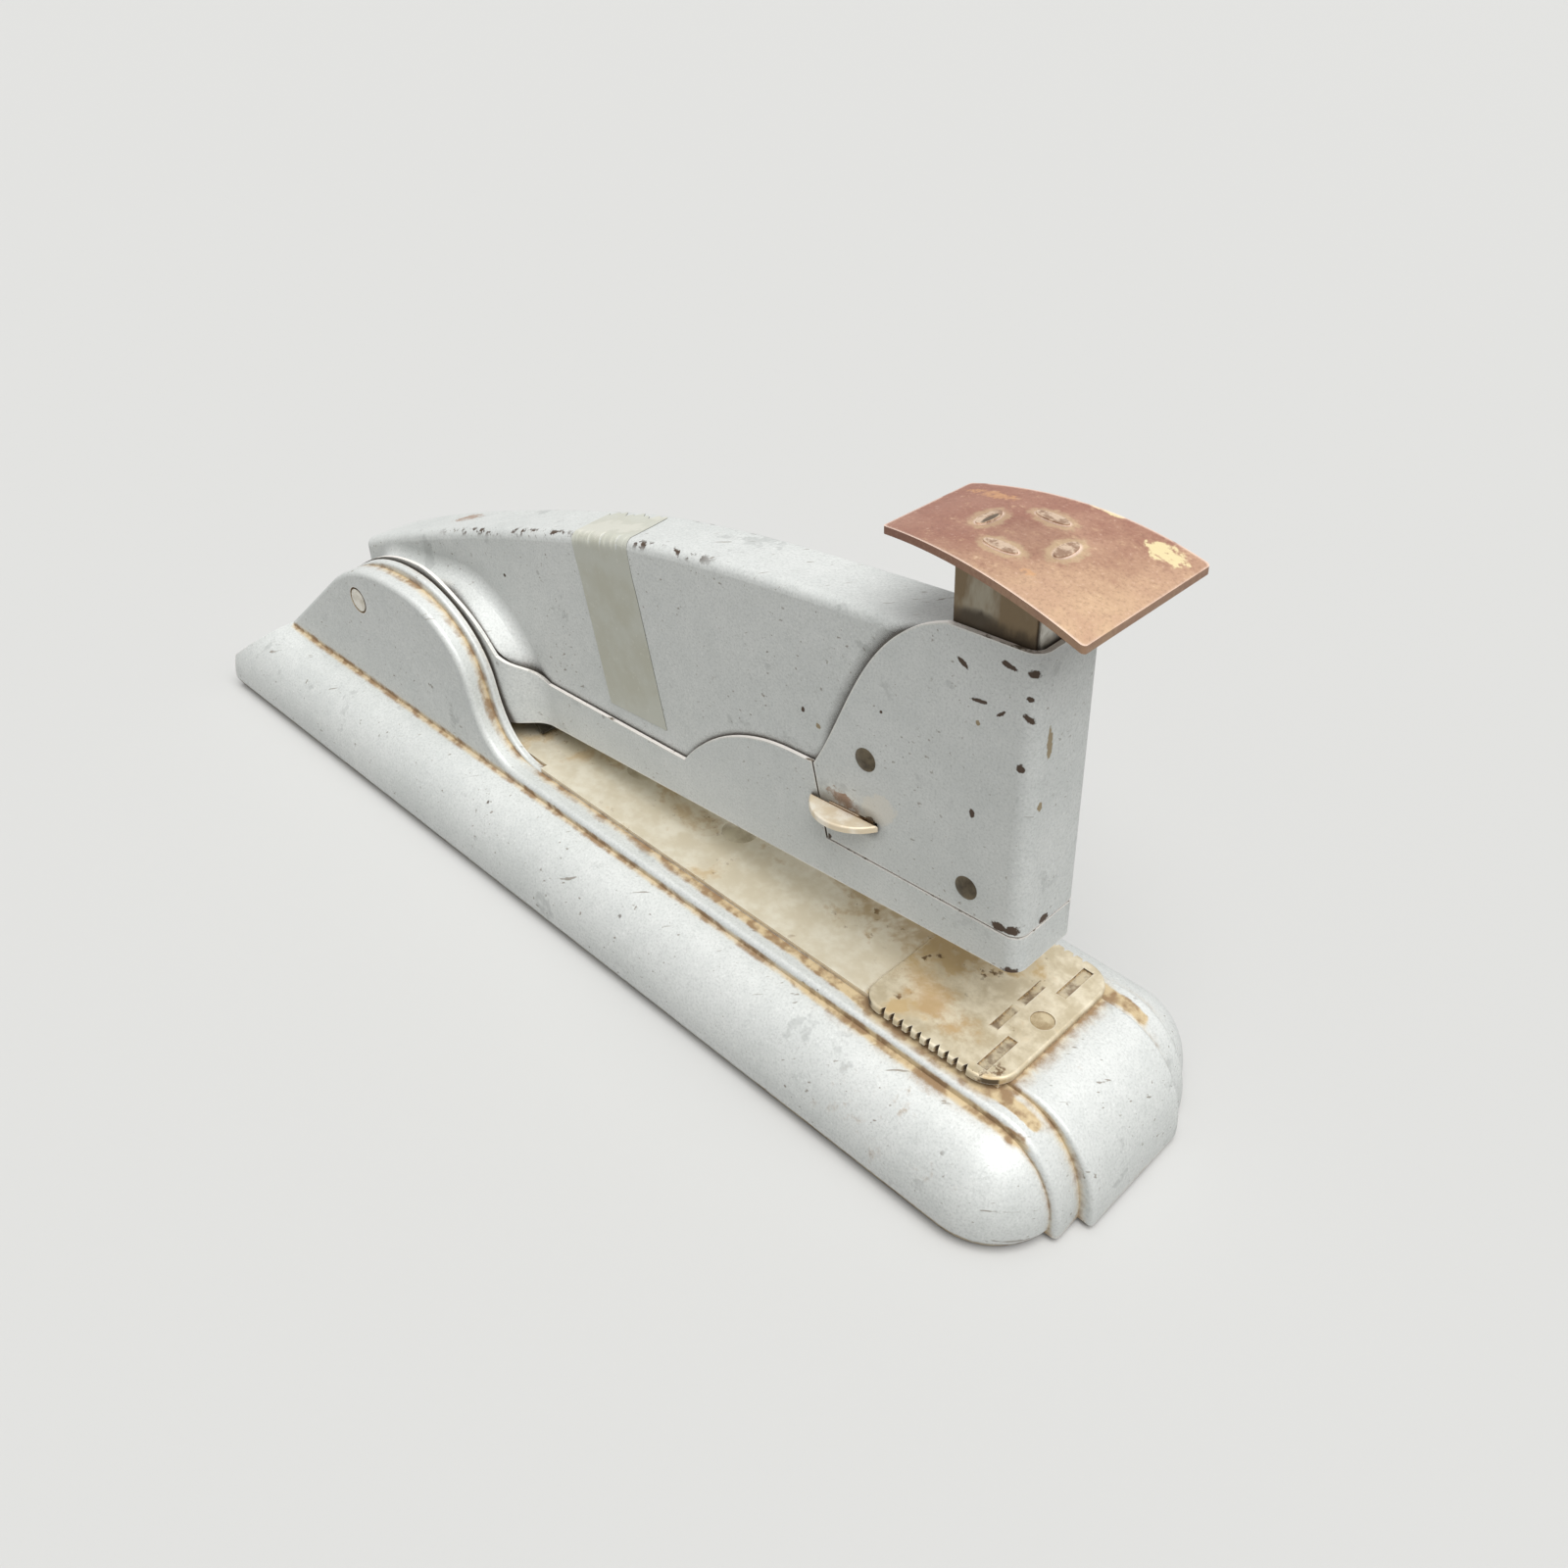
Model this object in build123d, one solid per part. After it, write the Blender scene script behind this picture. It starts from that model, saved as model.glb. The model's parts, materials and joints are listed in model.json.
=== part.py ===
"""Desk stapler with a cast base, a sprung arm, a loading cover and a sliding anvil.

Millimetres. +X runs to the staple end, +Z is up, and the origin lies on the table
under the middle of the base. Arm pieces are drawn in the arm's own frame, with the
hinge at its origin and the underside of the magazine level, and are then turned
up to the angle at which the spring holds the arm.
"""
import os
from math import cos, radians, tan

from build123d import *

# Overall sizes
HINGE_FROM_REAR = 42.0
ARM_REACH = 156.0
NOSE_OVERHANG = 24.0
BASE_WIDTH = 58.4
FOOT_HEIGHT = 1.2
PLATFORM_TOP = 19.5
HINGE_HEIGHT = 36.0
ARM_TILT = 5.4

# Clearances
RUNNING_CLEARANCE = 0.05
SLIDE_CLEARANCE = 0.2
SIDE_CLEARANCE = 0.45
SEAM = 0.35

# Base casting
TONGUE_WIDTH = 24.8
CENTRE_WIDTH = 28.4
SHELF_WIDTH = 36.4
SHELF_DROP = 1.1
EAR_SLOT = 25.8
EAR_RISE = 10.8
EAR_CREST = 15.5
EAR_FRONT = 38.0
EAR_FOOT = 52.0
EAR_FRONT_DROP = 4.1
EAR_FRONT_LEAN = 0.28
EAR_BACK = 10.5
EAR_STEP = 1.8
TAIL_RISE = 6.8
NOSE_LENGTH = 15.0
SHELF_NOSE = 13.5
SHELF_SETBACK = 2.5
ROLL_HEIGHT = 14.0
ROLL_BASE = 2.5
ROLL_SETBACK = 4.0
ROLL_INSET = 0.7
ROLL_PIVOT = 1.0
ROLL_UNDERCUT = 0.6
SHELF_ROUND = 1.0
STEP_ROUND = 0.5
TONGUE_ROUND = 0.7
RIB_PITCH = 21.0
RIB_THICKNESS = 3.0
RIB_BAYS = 7
POCKET_WIDTH = 18.0
POCKET_ROOF = 6.5
FOOT_RADIUS = 5.0
FOOT_RECESS = 1.0
FOOT_INSET = 17.0
FOOT_SPREAD = 38.0

# Platform plate and its rivets
PLATE_THICKNESS = 0.8
PLATE_END_GAP = 19.0
RIVET_HEAD_RADIUS = 3.4
RIVET_HEAD_HEIGHT = 0.7
RIVET_SHANK_RADIUS = 1.6
FRONT_RIVET = 92.0
REAR_RIVET = 66.0

# Sliding anvil
ANVIL_LENGTH = 27.4
ANVIL_WIDTH = 32.6
ANVIL_THICKNESS = 1.3
ANVIL_FRONT_GAP = 17.8
ANVIL_CORNER = 5.3
ANVIL_REAR_CORNER = 4.0
ANVIL_EDGE_ROUND = 0.5
ANVIL_TRAVEL = 8.0
TOOTH_COUNT = 10
TOOTH_PITCH = 1.8
TOOTH_DEPTH = 1.0
FORMING_DEPTH = 0.6
FORMING_RADIUS = 9.0
FORMING_WIDTH = 1.6
FORMING_SPREAD = 7.4
FORMING_SETBACK = 1.8
STAMP_LENGTH = 8.0
STAMP_WIDTH = 1.9
STAMP_DEPTH = 0.35
STAMP_SPREAD = 20.8
STAMP_FRONT_GAP = 4.4
STUD_RADIUS = 2.0
STUD_SINK = 0.2
STUD_SHANK_RADIUS = 1.4
STUD_FRONT_GAP = 3.4
STUD_COLLAR_RADIUS = 2.4
CLIP_RADIUS = 4.5
CLIP_THICKNESS = 0.8
STUD_TAIL = 1.0
STUD_POCKET_WIDTH = 12.0
STUD_WEB = 3.5

# Hinge
PIN_RADIUS = 2.4
PIN_DOME = 0.5
PIN_RECESS = 0.4
PIN_RECESS_RADIUS = 2.8
BUSH_WALL = 0.6

# Magazine channel
HEAD_WIDTH = 15.1
CHANNEL_SHEET = 0.7
CHANNEL_DROP = 16.33
CHANNEL_FRONT_DEPTH = 6.5
PARTING_SLOPE = 1.5
FRONT_CORNER = 2.5
CHANNEL_FLARE_FRONT = 47.0
CHANNEL_FLARE_REAR = 37.0
CHANNEL_TAIL = 8.0
CHANNEL_TAIL_DROP = 7.0
CHANNEL_FLOOR_REAR = 26.0
LIP_INSET = 0.4
LIP_TAIL_DROP = 7.4
LIP_TAIL_SLOPE = 0.62
LIP_SHOULDER_BACK = 9.3
LIP_SHOULDER_DROP = 4.4
LIP_SHOULDER_FALL = 0.52
LIP_KINK_DROP = 2.0
LIP_FALL = 1.3
ARCH_LENGTH = 31.0
ARCH_FLAT = 5.5
ARCH_RISE = 4.6
EXIT_SLOT = 1.4

# Top cover
COVER_SHEET = 0.7
COVER_TAIL = 15.2
COVER_TAIL_TOP = 4.9
COVER_TAIL_DEPTH = 5.5
COVER_HEEL = 4.0
COVER_CROWN = 34.4
COVER_MIDDLE = 58.0
COVER_MIDDLE_HEIGHT = 26.8
COVER_TAIL_SLOPE = 0.4
COVER_MIDDLE_SLOPE = 0.235
COVER_FRONT_SLOPE = 0.035
COVER_FLARE_FRONT = 46.0
COVER_FLARE_REAR = 35.0
SKIRT_FRONT = 22.0
SKIRT_FRONT_DROP = 12.6
SKIRT_FRONT_RADIUS = 18.6
SKIRT_REAR_DROP = 1.5
SKIRT_REAR_RADIUS = 5.0
SKIRT_TAPER = 32.0
SKIRT_ROUND = 3.0
COVER_EDGE_ROUND = 1.8
COVER_TAIL_CORNER = 3.0
COVER_TUCK = 0.3
COVER_FRONT_EDGE = 3.5
COVER_FRONT_GAP = 1.5

# Head housing
HEAD_SHEET = 0.9
HEAD_TOP = 37.3
HEAD_TOP_LENGTH = 15.0
HEAD_FOOT_LENGTH = 37.2
HEAD_REAR_LEAN = 2.8
HEAD_SWEEP_LOW = (6.3, 12.4)
HEAD_SWEEP_HIGH = (14.7, 26.2)
HEAD_RIVET_RADIUS = 2.0
HEAD_RIVET_SHANK = 1.2
HEAD_RIVET_DOME = 0.5
COVER_RIVET_BACK = 29.3
COVER_RIVET_HEIGHT = 9.6
SEAT_RIVET_BACK = 9.8
SEAT_RIVET_HEIGHT = -4.6

# Plunger
PLUNGER_LENGTH = 13.1
PLUNGER_SHEET = 1.0
PLUNGER_SIDE_GAP = 0.45
PLUNGER_FOOT = 9.0
BLADE_THICKNESS = 0.6
BLADE_FRONT_GAP = 0.4
BLADE_SIDE_GAP = 0.9
BLADE_TIP = 0.4
BLADE_TOP_GAP = 4.0
BLADE_RIVET_RADIUS = 1.0
BLADE_RIVET_PITCH = 9.0
CAP_LENGTH = 34.7
CAP_REAR_WIDTH = 19.0
CAP_FRONT_WIDTH = 29.0
CAP_REAR_HEIGHT = 49.1
CAP_FRONT_HEIGHT = 45.1
CAP_ARCH = 2.2
CAP_THICKNESS = 1.1
CAP_FRONT_OVERHANG = 10.1
CAP_SIDE_BOW = 0.8
CAP_CORNER = 0.7
STAKE_LENGTH = 5.2
STAKE_WIDTH = 2.0
STAKE_RISE = 0.2
SEAT_SHEET = 1.0
SEAT_TOP = 1.2
SEAT_DEPTH = 9.0
SEAT_LENGTH = 19.0
PLUNGER_SPRING_RADIUS = 4.6
PLUNGER_SPRING_WIRE = 0.9
PLUNGER_SPRING_TURNS = 9

# Staples, rail and follower
STAPLE_WIRE = 0.5
STAPLE_WIDTH = 12.7
STAPLE_HEIGHT = 5.2
STRIP_LENGTH = 52.0
STRIP_GAP = 0.25
RAIL_SHEET = 0.8
RAIL_CLEARANCE = 0.12
RAIL_REAR = 30.0
RAIL_RIVET_RADIUS = 1.5
RAIL_RIVET_HEAD = 0.4
RAIL_RIVET_HEAD_RADIUS = 2.2
RAIL_RIVET_INSET = 12.0
FOLLOWER_LENGTH = 14.0
FOLLOWER_HEIGHT = 4.4
ROD_RADIUS = 1.1
ROD_TAIL = 5.0
ROD_NOSE = 4.0
BRACKET_LENGTH = 4.0
BRACKET_SIDE_GAP = 1.0
FOLLOWER_SPRING_RADIUS = 2.1
FOLLOWER_SPRING_WIRE = 0.45
FOLLOWER_SPRING_TURNS = 22

# Release latch
TAB_LENS_LENGTH = 14.0
TAB_LENS_REACH = 4.2
TAB_THICKNESS = 1.1
TAB_EDGE_ROUND = 0.35
TAB_BACK = 40.6
TAB_HEIGHT = -2.3
TAB_SURFACE_GAP = 0.25
STEM_LENGTH = 6.0
STEM_BACK = 36.6
LATCH_TRAVEL = 3.5
LATCH_SHEET = 1.0
LATCH_DEPTH = 6.0
LATCH_LENGTH = 8.0
LATCH_SPRING_RADIUS = 1.3
LATCH_SPRING_WIRE = 0.4
LATCH_SPRING_TURNS = 6

# Return spring under the arm
LEAF_THICKNESS = 0.6
LEAF_WIDTH = 15.0
LEAF_REAR = 8.0
LEAF_FRONT = 44.0
LEAF_FLAT = 14.0
LEAF_GAP = 0.3
LEAF_TURN = 3.0
LEAF_RIVET_RADIUS = 2.4

# Derived places
BASE_LENGTH = HINGE_FROM_REAR + ARM_REACH + NOSE_OVERHANG
REAR = -BASE_LENGTH / 2
FRONT = BASE_LENGTH / 2
HINGE_X = REAR + HINGE_FROM_REAR
PLATE_UNDERSIDE = PLATFORM_TOP - PLATE_THICKNESS
SHELF_TOP = PLATFORM_TOP - SHELF_DROP
TAIL_TOP = FOOT_HEIGHT + TAIL_RISE
CHANNEL_HALF = HEAD_WIDTH / 2
CHANNEL_INNER_HALF = CHANNEL_HALF - CHANNEL_SHEET
COVER_HALF = CHANNEL_INNER_HALF - SLIDE_CLEARANCE
COVER_INNER_HALF = COVER_HALF - COVER_SHEET
FLARE_HALF = EAR_SLOT / 2 - SIDE_CLEARANCE
FLARE_INNER_HALF = FLARE_HALF - CHANNEL_SHEET
COVER_FLARE_HALF = FLARE_INNER_HALF - SLIDE_CLEARANCE
FLOOR_TOP = -CHANNEL_DROP + CHANNEL_SHEET
PARTING_FRONT = -CHANNEL_DROP + CHANNEL_FRONT_DEPTH
HEAD_FOOT_REAR = ARM_REACH - HEAD_FOOT_LENGTH
HEAD_PEAK = HEAD_FOOT_REAR - HEAD_REAR_LEAN
ARCH_REAR = HEAD_PEAK - ARCH_LENGTH
ARCH_CREST = HEAD_PEAK - ARCH_FLAT
HEAD_INNER_FRONT = ARM_REACH - HEAD_SHEET
BLADE_FRONT = HEAD_INNER_FRONT - BLADE_FRONT_GAP
PLUNGER_FRONT = BLADE_FRONT - BLADE_THICKNESS
PLUNGER_REAR = PLUNGER_FRONT - PLUNGER_LENGTH
PLUNGER_MIDDLE = PLUNGER_FRONT - PLUNGER_LENGTH / 2
PLUNGER_HALF = COVER_HALF - PLUNGER_SIDE_GAP
COVER_FRONT = PLUNGER_REAR - COVER_FRONT_GAP
STAPLE_TOP = FLOOR_TOP + STAPLE_HEIGHT
STRIP_FRONT = PLUNGER_FRONT - STRIP_GAP
STRIP_REAR = STRIP_FRONT - STRIP_LENGTH
RAIL_TOP = STAPLE_TOP - STAPLE_WIRE - RAIL_CLEARANCE
RAIL_HALF = STAPLE_WIDTH / 2 - STAPLE_WIRE - RAIL_CLEARANCE
FOLLOWER_FRONT = STRIP_REAR - SLIDE_CLEARANCE
FOLLOWER_REAR = FOLLOWER_FRONT - FOLLOWER_LENGTH
ROD_HEIGHT = STAPLE_TOP + FOLLOWER_HEIGHT / 2
BRACKET_FRONT = RAIL_REAR + BRACKET_LENGTH
SEAT_FRONT = HEAD_INNER_FRONT - (FRONT_CORNER - HEAD_SHEET) - SLIDE_CLEARANCE
SEAT_REAR = SEAT_FRONT - SEAT_LENGTH
TAB_REAR = ARM_REACH - TAB_BACK
STEM_REAR = ARM_REACH - STEM_BACK
LATCH_HALF = COVER_HALF - SLIDE_CLEARANCE
CAP_FRONT = ARM_REACH + CAP_FRONT_OVERHANG
CAP_REAR = CAP_FRONT - CAP_LENGTH
ANVIL_FRONT = FRONT - ANVIL_FRONT_GAP
ANVIL_BOTTOM = PLATFORM_TOP + SLIDE_CLEARANCE / 2
ANVIL_TOP = ANVIL_BOTTOM + ANVIL_THICKNESS
STUD_X = ANVIL_FRONT - STUD_FRONT_GAP
PLATE_FRONT = FRONT - PLATE_END_GAP
EXIT_X = HINGE_X + ARM_REACH
WIDE = BASE_WIDTH
TALL = HINGE_HEIGHT + CAP_REAR_HEIGHT

ARM_AT_REST = Pos(HINGE_X, 0, HINGE_HEIGHT) * Rot(0, -ARM_TILT, 0)


def side_solid(outline, half_width):
    """Sweep an outline drawn in X and Z to both sides of the middle plane."""
    return extrude(Plane.XZ * make_face(outline), half_width, both=True)


def plan_solid(outline, low, high):
    """Raise an outline drawn in X and Y from one height to another."""
    return extrude(Pos(0, 0, low) * make_face(outline), high - low)


def block(low, high):
    """Box between two opposite corners."""
    size = [b - a for a, b in zip(low, high)]
    middle = [(a + b) / 2 for a, b in zip(low, high)]
    return Pos(*middle) * Box(*size)


def cross_pin(x, z, radius, start, end):
    """Cylinder across the object, from one Y to another."""
    return Pos(x, (start + end) / 2, z) * Rot(90, 0, 0) * Cylinder(radius, abs(end - start))


def post(x, y, radius, low, high):
    """Upright cylinder."""
    return Pos(x, y, (low + high) / 2) * Cylinder(radius, high - low)


def rod(z, y, radius, start, end):
    """Cylinder along X."""
    return Pos((start + end) / 2, y, z) * Rot(0, 90, 0) * Cylinder(radius, end - start)


def dome(radius, height):
    """Shallow rivet head, a slice of a ball that stands on the XY plane."""
    ball = (radius**2 + height**2) / (2 * height)
    reach = radius * 2
    slice_box = block((-reach, -reach, 0), (reach, reach, reach))
    return Pos(0, 0, height - ball) * Sphere(ball) & slice_box


def coil(radius, wire, turns, length):
    """Compression spring that stands on the XY plane with its axis on Z."""
    middle = radius - wire / 2
    run = length - wire
    path = Helix(run / turns, run, middle)
    section = Plane(path @ 0, z_dir=path % 0) * Circle(wire / 2)
    return Pos(0, 0, wire / 2) * sweep(section, path, is_frenet=True)


def ellipse_corner(centre_x, base, reach, height):
    """Quarter ellipse from its top, level, to its front, upright."""
    return EllipticalCenterArc((centre_x, base), reach, height, start_angle=0, arc_size=90)


def parting(x):
    """Height of the seam between magazine and cover, in the arm's frame."""
    return PARTING_FRONT + (ARM_REACH - x) * tan(radians(PARTING_SLOPE))


def ear_curve(step):
    """Crest of an ear from its sloping back to the platform, lowered by a step."""
    back = (HINGE_X - EAR_BACK, HINGE_HEIGHT)
    crest = (HINGE_X + EAR_CREST, HINGE_HEIGHT + EAR_RISE - step)
    front = (HINGE_X + EAR_FRONT - step, HINGE_HEIGHT - EAR_FRONT_DROP)
    foot = (HINGE_X + EAR_FOOT - step, PLATE_UNDERSIDE if step == 0 else SHELF_TOP)
    curve = Spline(
        (back, crest, front, foot),
        tangents=((back[0] - REAR, back[1] - TAIL_TOP), (1, 0), (EAR_FRONT_LEAN, -1), (1, 0)),
    )
    return back, foot, curve


def layer_solid(step, front_x, half_width, nose=None):
    """One stepped layer of the base, from the tail over the ears to the front."""
    back, foot, crest = ear_curve(step)
    start = (REAR, FOOT_HEIGHT)
    if nose is None:
        end = Polyline(foot, (front_x, foot[1]), (front_x, FOOT_HEIGHT), start)
    else:
        bend = front_x - nose
        height = foot[1] - FOOT_HEIGHT
        end = Line(foot, (bend, foot[1])) + ellipse_corner(bend, FOOT_HEIGHT, nose, height)
        end += Line((front_x, FOOT_HEIGHT), start)
    outline = Polyline(start, (REAR, TAIL_TOP), back) + crest + end
    return side_solid(outline, half_width)


def round_long_edges(solid, half_width, radius, low):
    """Round the edges along both sides of a layer, above a height."""
    edges = [
        edge
        for edge in solid.edges()
        if abs(abs(edge.center().Y) - half_width) < 0.01 and edge.center().Z > low
    ]
    return fillet(edges, radius)


def roll_section():
    """Half section of a side roll, drawn from its inner wall outwards."""
    inner = SHELF_WIDTH / 2 - ROLL_INSET
    outer = BASE_WIDTH / 2
    top = ROLL_BASE + ROLL_HEIGHT
    outline = Polyline(
        (inner, top),
        (inner, FOOT_HEIGHT),
        (outer - ROLL_UNDERCUT, FOOT_HEIGHT),
        (outer, ROLL_BASE),
    )
    outline += ellipse_corner(inner, ROLL_BASE, outer - inner, ROLL_HEIGHT)
    return make_face(outline)


def side_roll():
    """Left and right rolls, bullet-nosed in front and cut along the tail's slope."""
    inner = SHELF_WIDTH / 2 - ROLL_INSET
    bullet = BASE_WIDTH / 2 - inner
    axle = inner - ROLL_PIVOT
    bend = FRONT - ROLL_SETBACK - bullet - ROLL_PIVOT
    bar = extrude(Plane.YZ.offset(REAR) * roll_section(), bend - REAR)
    turn = Axis((bend, axle, 0), (0, 0, 1))
    nose = revolve(Plane.YZ.offset(bend) * roll_section(), turn, -90)
    keep = Polyline(
        (REAR, FOOT_HEIGHT),
        (REAR, TAIL_TOP),
        (HINGE_X - EAR_BACK, HINGE_HEIGHT),
        (FRONT, HINGE_HEIGHT),
        (FRONT, FOOT_HEIGHT),
        close=True,
    )
    roll = (bar + nose) & side_solid(keep, WIDE)
    return roll + mirror(roll, Plane.XZ)


def foot_places():
    """Centres of the four feet."""
    along = BASE_LENGTH / 2 - FOOT_INSET
    across = FOOT_SPREAD / 2
    return [(x, y) for x in (-along, along) for y in (-across, across)]


def base_shell():
    """Cast base: stepped deck, two ears, two side rolls and a rounded tongue."""
    centre_half = CENTRE_WIDTH / 2
    shelf_half = SHELF_WIDTH / 2
    centre = layer_solid(0, PLATE_FRONT, centre_half)
    centre = round_long_edges(centre, centre_half, STEP_ROUND, PLATFORM_TOP)
    shelf = layer_solid(EAR_STEP, FRONT - SHELF_SETBACK, shelf_half, SHELF_NOSE)
    shelf = round_long_edges(shelf, shelf_half, SHELF_ROUND, FOOT_HEIGHT + SHELF_ROUND)
    bend = FRONT - NOSE_LENGTH
    tongue_outline = Polyline(
        (bend, PLATFORM_TOP),
        (PLATE_FRONT, PLATFORM_TOP),
        (PLATE_FRONT, FOOT_HEIGHT),
        (FRONT, FOOT_HEIGHT),
    )
    tongue_outline += ellipse_corner(bend, FOOT_HEIGHT, NOSE_LENGTH, PLATFORM_TOP - FOOT_HEIGHT)
    tongue = side_solid(tongue_outline, TONGUE_WIDTH / 2)
    tongue = round_long_edges(tongue, TONGUE_WIDTH / 2, TONGUE_ROUND, FOOT_HEIGHT + TONGUE_ROUND)
    shell = centre + shelf + tongue + side_roll()
    slot_half = EAR_SLOT / 2
    slot_front = HINGE_X + EAR_FOOT + RIB_PITCH
    shell -= block((REAR, -slot_half, PLATE_UNDERSIDE), (slot_front, slot_half, TALL))
    shell -= cross_pin(HINGE_X, HINGE_HEIGHT, PIN_RADIUS, -WIDE, WIDE)
    for side in (-1, 1):
        floor = side * (shelf_half - PIN_RECESS)
        shell -= cross_pin(HINGE_X, HINGE_HEIGHT, PIN_RECESS_RADIUS, floor, side * WIDE)
    roof = PLATE_UNDERSIDE - POCKET_ROOF
    for bay in range(RIB_BAYS):
        low_x = REAR + HINGE_FROM_REAR / 2 + RIB_THICKNESS + bay * RIB_PITCH
        high_x = low_x + RIB_PITCH - RIB_THICKNESS
        for side in (-1, 1):
            middle = side * (RIB_THICKNESS + POCKET_WIDTH) / 2
            near = middle - POCKET_WIDTH / 2
            shell -= block((low_x, near, 0), (high_x, near + POCKET_WIDTH, roof))
    shell -= stud_pocket()
    shell -= stud_slot()
    for x, y in foot_places():
        shell -= post(x, y, FOOT_RADIUS, 0, FOOT_HEIGHT + FOOT_RECESS)
    for x in (HINGE_X + FRONT_RIVET, HINGE_X + REAR_RIVET, HINGE_X + leaf_rivet_place()):
        shell -= post(x, 0, RIVET_SHANK_RADIUS, 0, TALL)
    return shell


def stud_pocket():
    """Hollow under the tongue that the anvil's stud and clip travel in."""
    half = STUD_POCKET_WIDTH / 2
    low_x = STUD_X - ANVIL_TRAVEL - half
    return block((low_x, -half, 0), (STUD_X + half, half, PLATE_UNDERSIDE - STUD_WEB))


def stud_slot():
    """Slot along which the anvil's stud slides."""
    radius = STUD_COLLAR_RADIUS + SLIDE_CLEARANCE
    ends = post(STUD_X, 0, radius, FOOT_HEIGHT, ANVIL_TOP)
    ends += post(STUD_X - ANVIL_TRAVEL, 0, radius, FOOT_HEIGHT, ANVIL_TOP)
    return ends + block((STUD_X - ANVIL_TRAVEL, -radius, FOOT_HEIGHT), (STUD_X, radius, ANVIL_TOP))


def platform_plate():
    """Plated deck under the arm, narrower where it runs back between the ears."""
    rear = HINGE_X - EAR_BACK / 2
    neck = HINGE_X + EAR_FOOT
    half = CENTRE_WIDTH / 2
    plate = block((neck, -half, PLATE_UNDERSIDE), (PLATE_FRONT, half, PLATFORM_TOP))
    neck_half = EAR_SLOT / 2 - SLIDE_CLEARANCE
    plate += block((rear, -neck_half, PLATE_UNDERSIDE), (neck, neck_half, PLATFORM_TOP))
    plate -= stud_slot()
    for x in (HINGE_X + FRONT_RIVET, HINGE_X + REAR_RIVET, HINGE_X + leaf_rivet_place()):
        plate -= post(x, 0, RIVET_SHANK_RADIUS, 0, TALL)
    return plate


def rivet(x, head_radius, head_base, tail):
    """Round-headed rivet in the deck, with its shank down to the casting's pocket."""
    shank = post(x, 0, RIVET_SHANK_RADIUS, tail, head_base)
    return shank + Pos(x, 0, head_base) * dome(head_radius, RIVET_HEAD_HEIGHT)


def platform_rivets():
    """Two rivets that hold the plate to the casting."""
    tail = PLATE_UNDERSIDE - POCKET_ROOF
    places = (HINGE_X + FRONT_RIVET, HINGE_X + REAR_RIVET)
    return Compound([rivet(x, RIVET_HEAD_RADIUS, PLATFORM_TOP, tail) for x in places])


def leaf_rivet_place():
    """Distance of the return spring's rivet in front of the hinge."""
    return LEAF_REAR + LEAF_FLAT / 2


def spring_rivet():
    """Rivet that clamps the return spring to the deck."""
    head_base = PLATFORM_TOP + LEAF_THICKNESS
    tail = PLATE_UNDERSIDE - POCKET_ROOF
    return rivet(HINGE_X + leaf_rivet_place(), LEAF_RIVET_RADIUS, head_base, tail)


def arm_spring():
    """Leaf that lies on the deck, rises to the magazine and turns down at its tip."""
    low = PLATFORM_TOP
    tip_x = HINGE_X + LEAF_FRONT
    crest = LEAF_FRONT - LEAF_TURN - LEAF_THICKNESS
    under = HINGE_HEIGHT - CHANNEL_DROP / cos(radians(ARM_TILT)) + crest * tan(radians(ARM_TILT))
    high = under - LEAF_GAP - LEAF_THICKNESS
    start = HINGE_X + LEAF_REAR
    bend = start + LEAF_FLAT
    path = FilletPolyline(
        (start, low + LEAF_THICKNESS / 2),
        (bend, low + LEAF_THICKNESS / 2),
        (tip_x - LEAF_TURN, high + LEAF_THICKNESS / 2),
        (tip_x, low + LEAF_THICKNESS + LEAF_GAP),
        radius=LEAF_THICKNESS,
    )
    outline = make_face(offset(path, LEAF_THICKNESS / 2, kind=Kind.INTERSECTION, side=Side.BOTH))
    leaf = extrude(Plane.XZ * outline, LEAF_WIDTH / 2, both=True)
    return leaf - post(HINGE_X + leaf_rivet_place(), 0, RIVET_SHANK_RADIUS, 0, TALL)


def rubber_feet():
    """Four feet let into the underside."""
    high = FOOT_HEIGHT + FOOT_RECESS
    return Compound([post(x, y, FOOT_RADIUS, 0, high) for x, y in foot_places()])


def hinge_pin():
    """Pin through both ears with its ends domed over."""
    half = SHELF_WIDTH / 2
    pin = cross_pin(HINGE_X, HINGE_HEIGHT, PIN_RADIUS, -half, half)
    end = Pos(HINGE_X, -half, HINGE_HEIGHT) * Rot(90, 0, 0) * dome(PIN_RADIUS, PIN_DOME)
    return pin + end + mirror(end, Plane.XZ)


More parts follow.
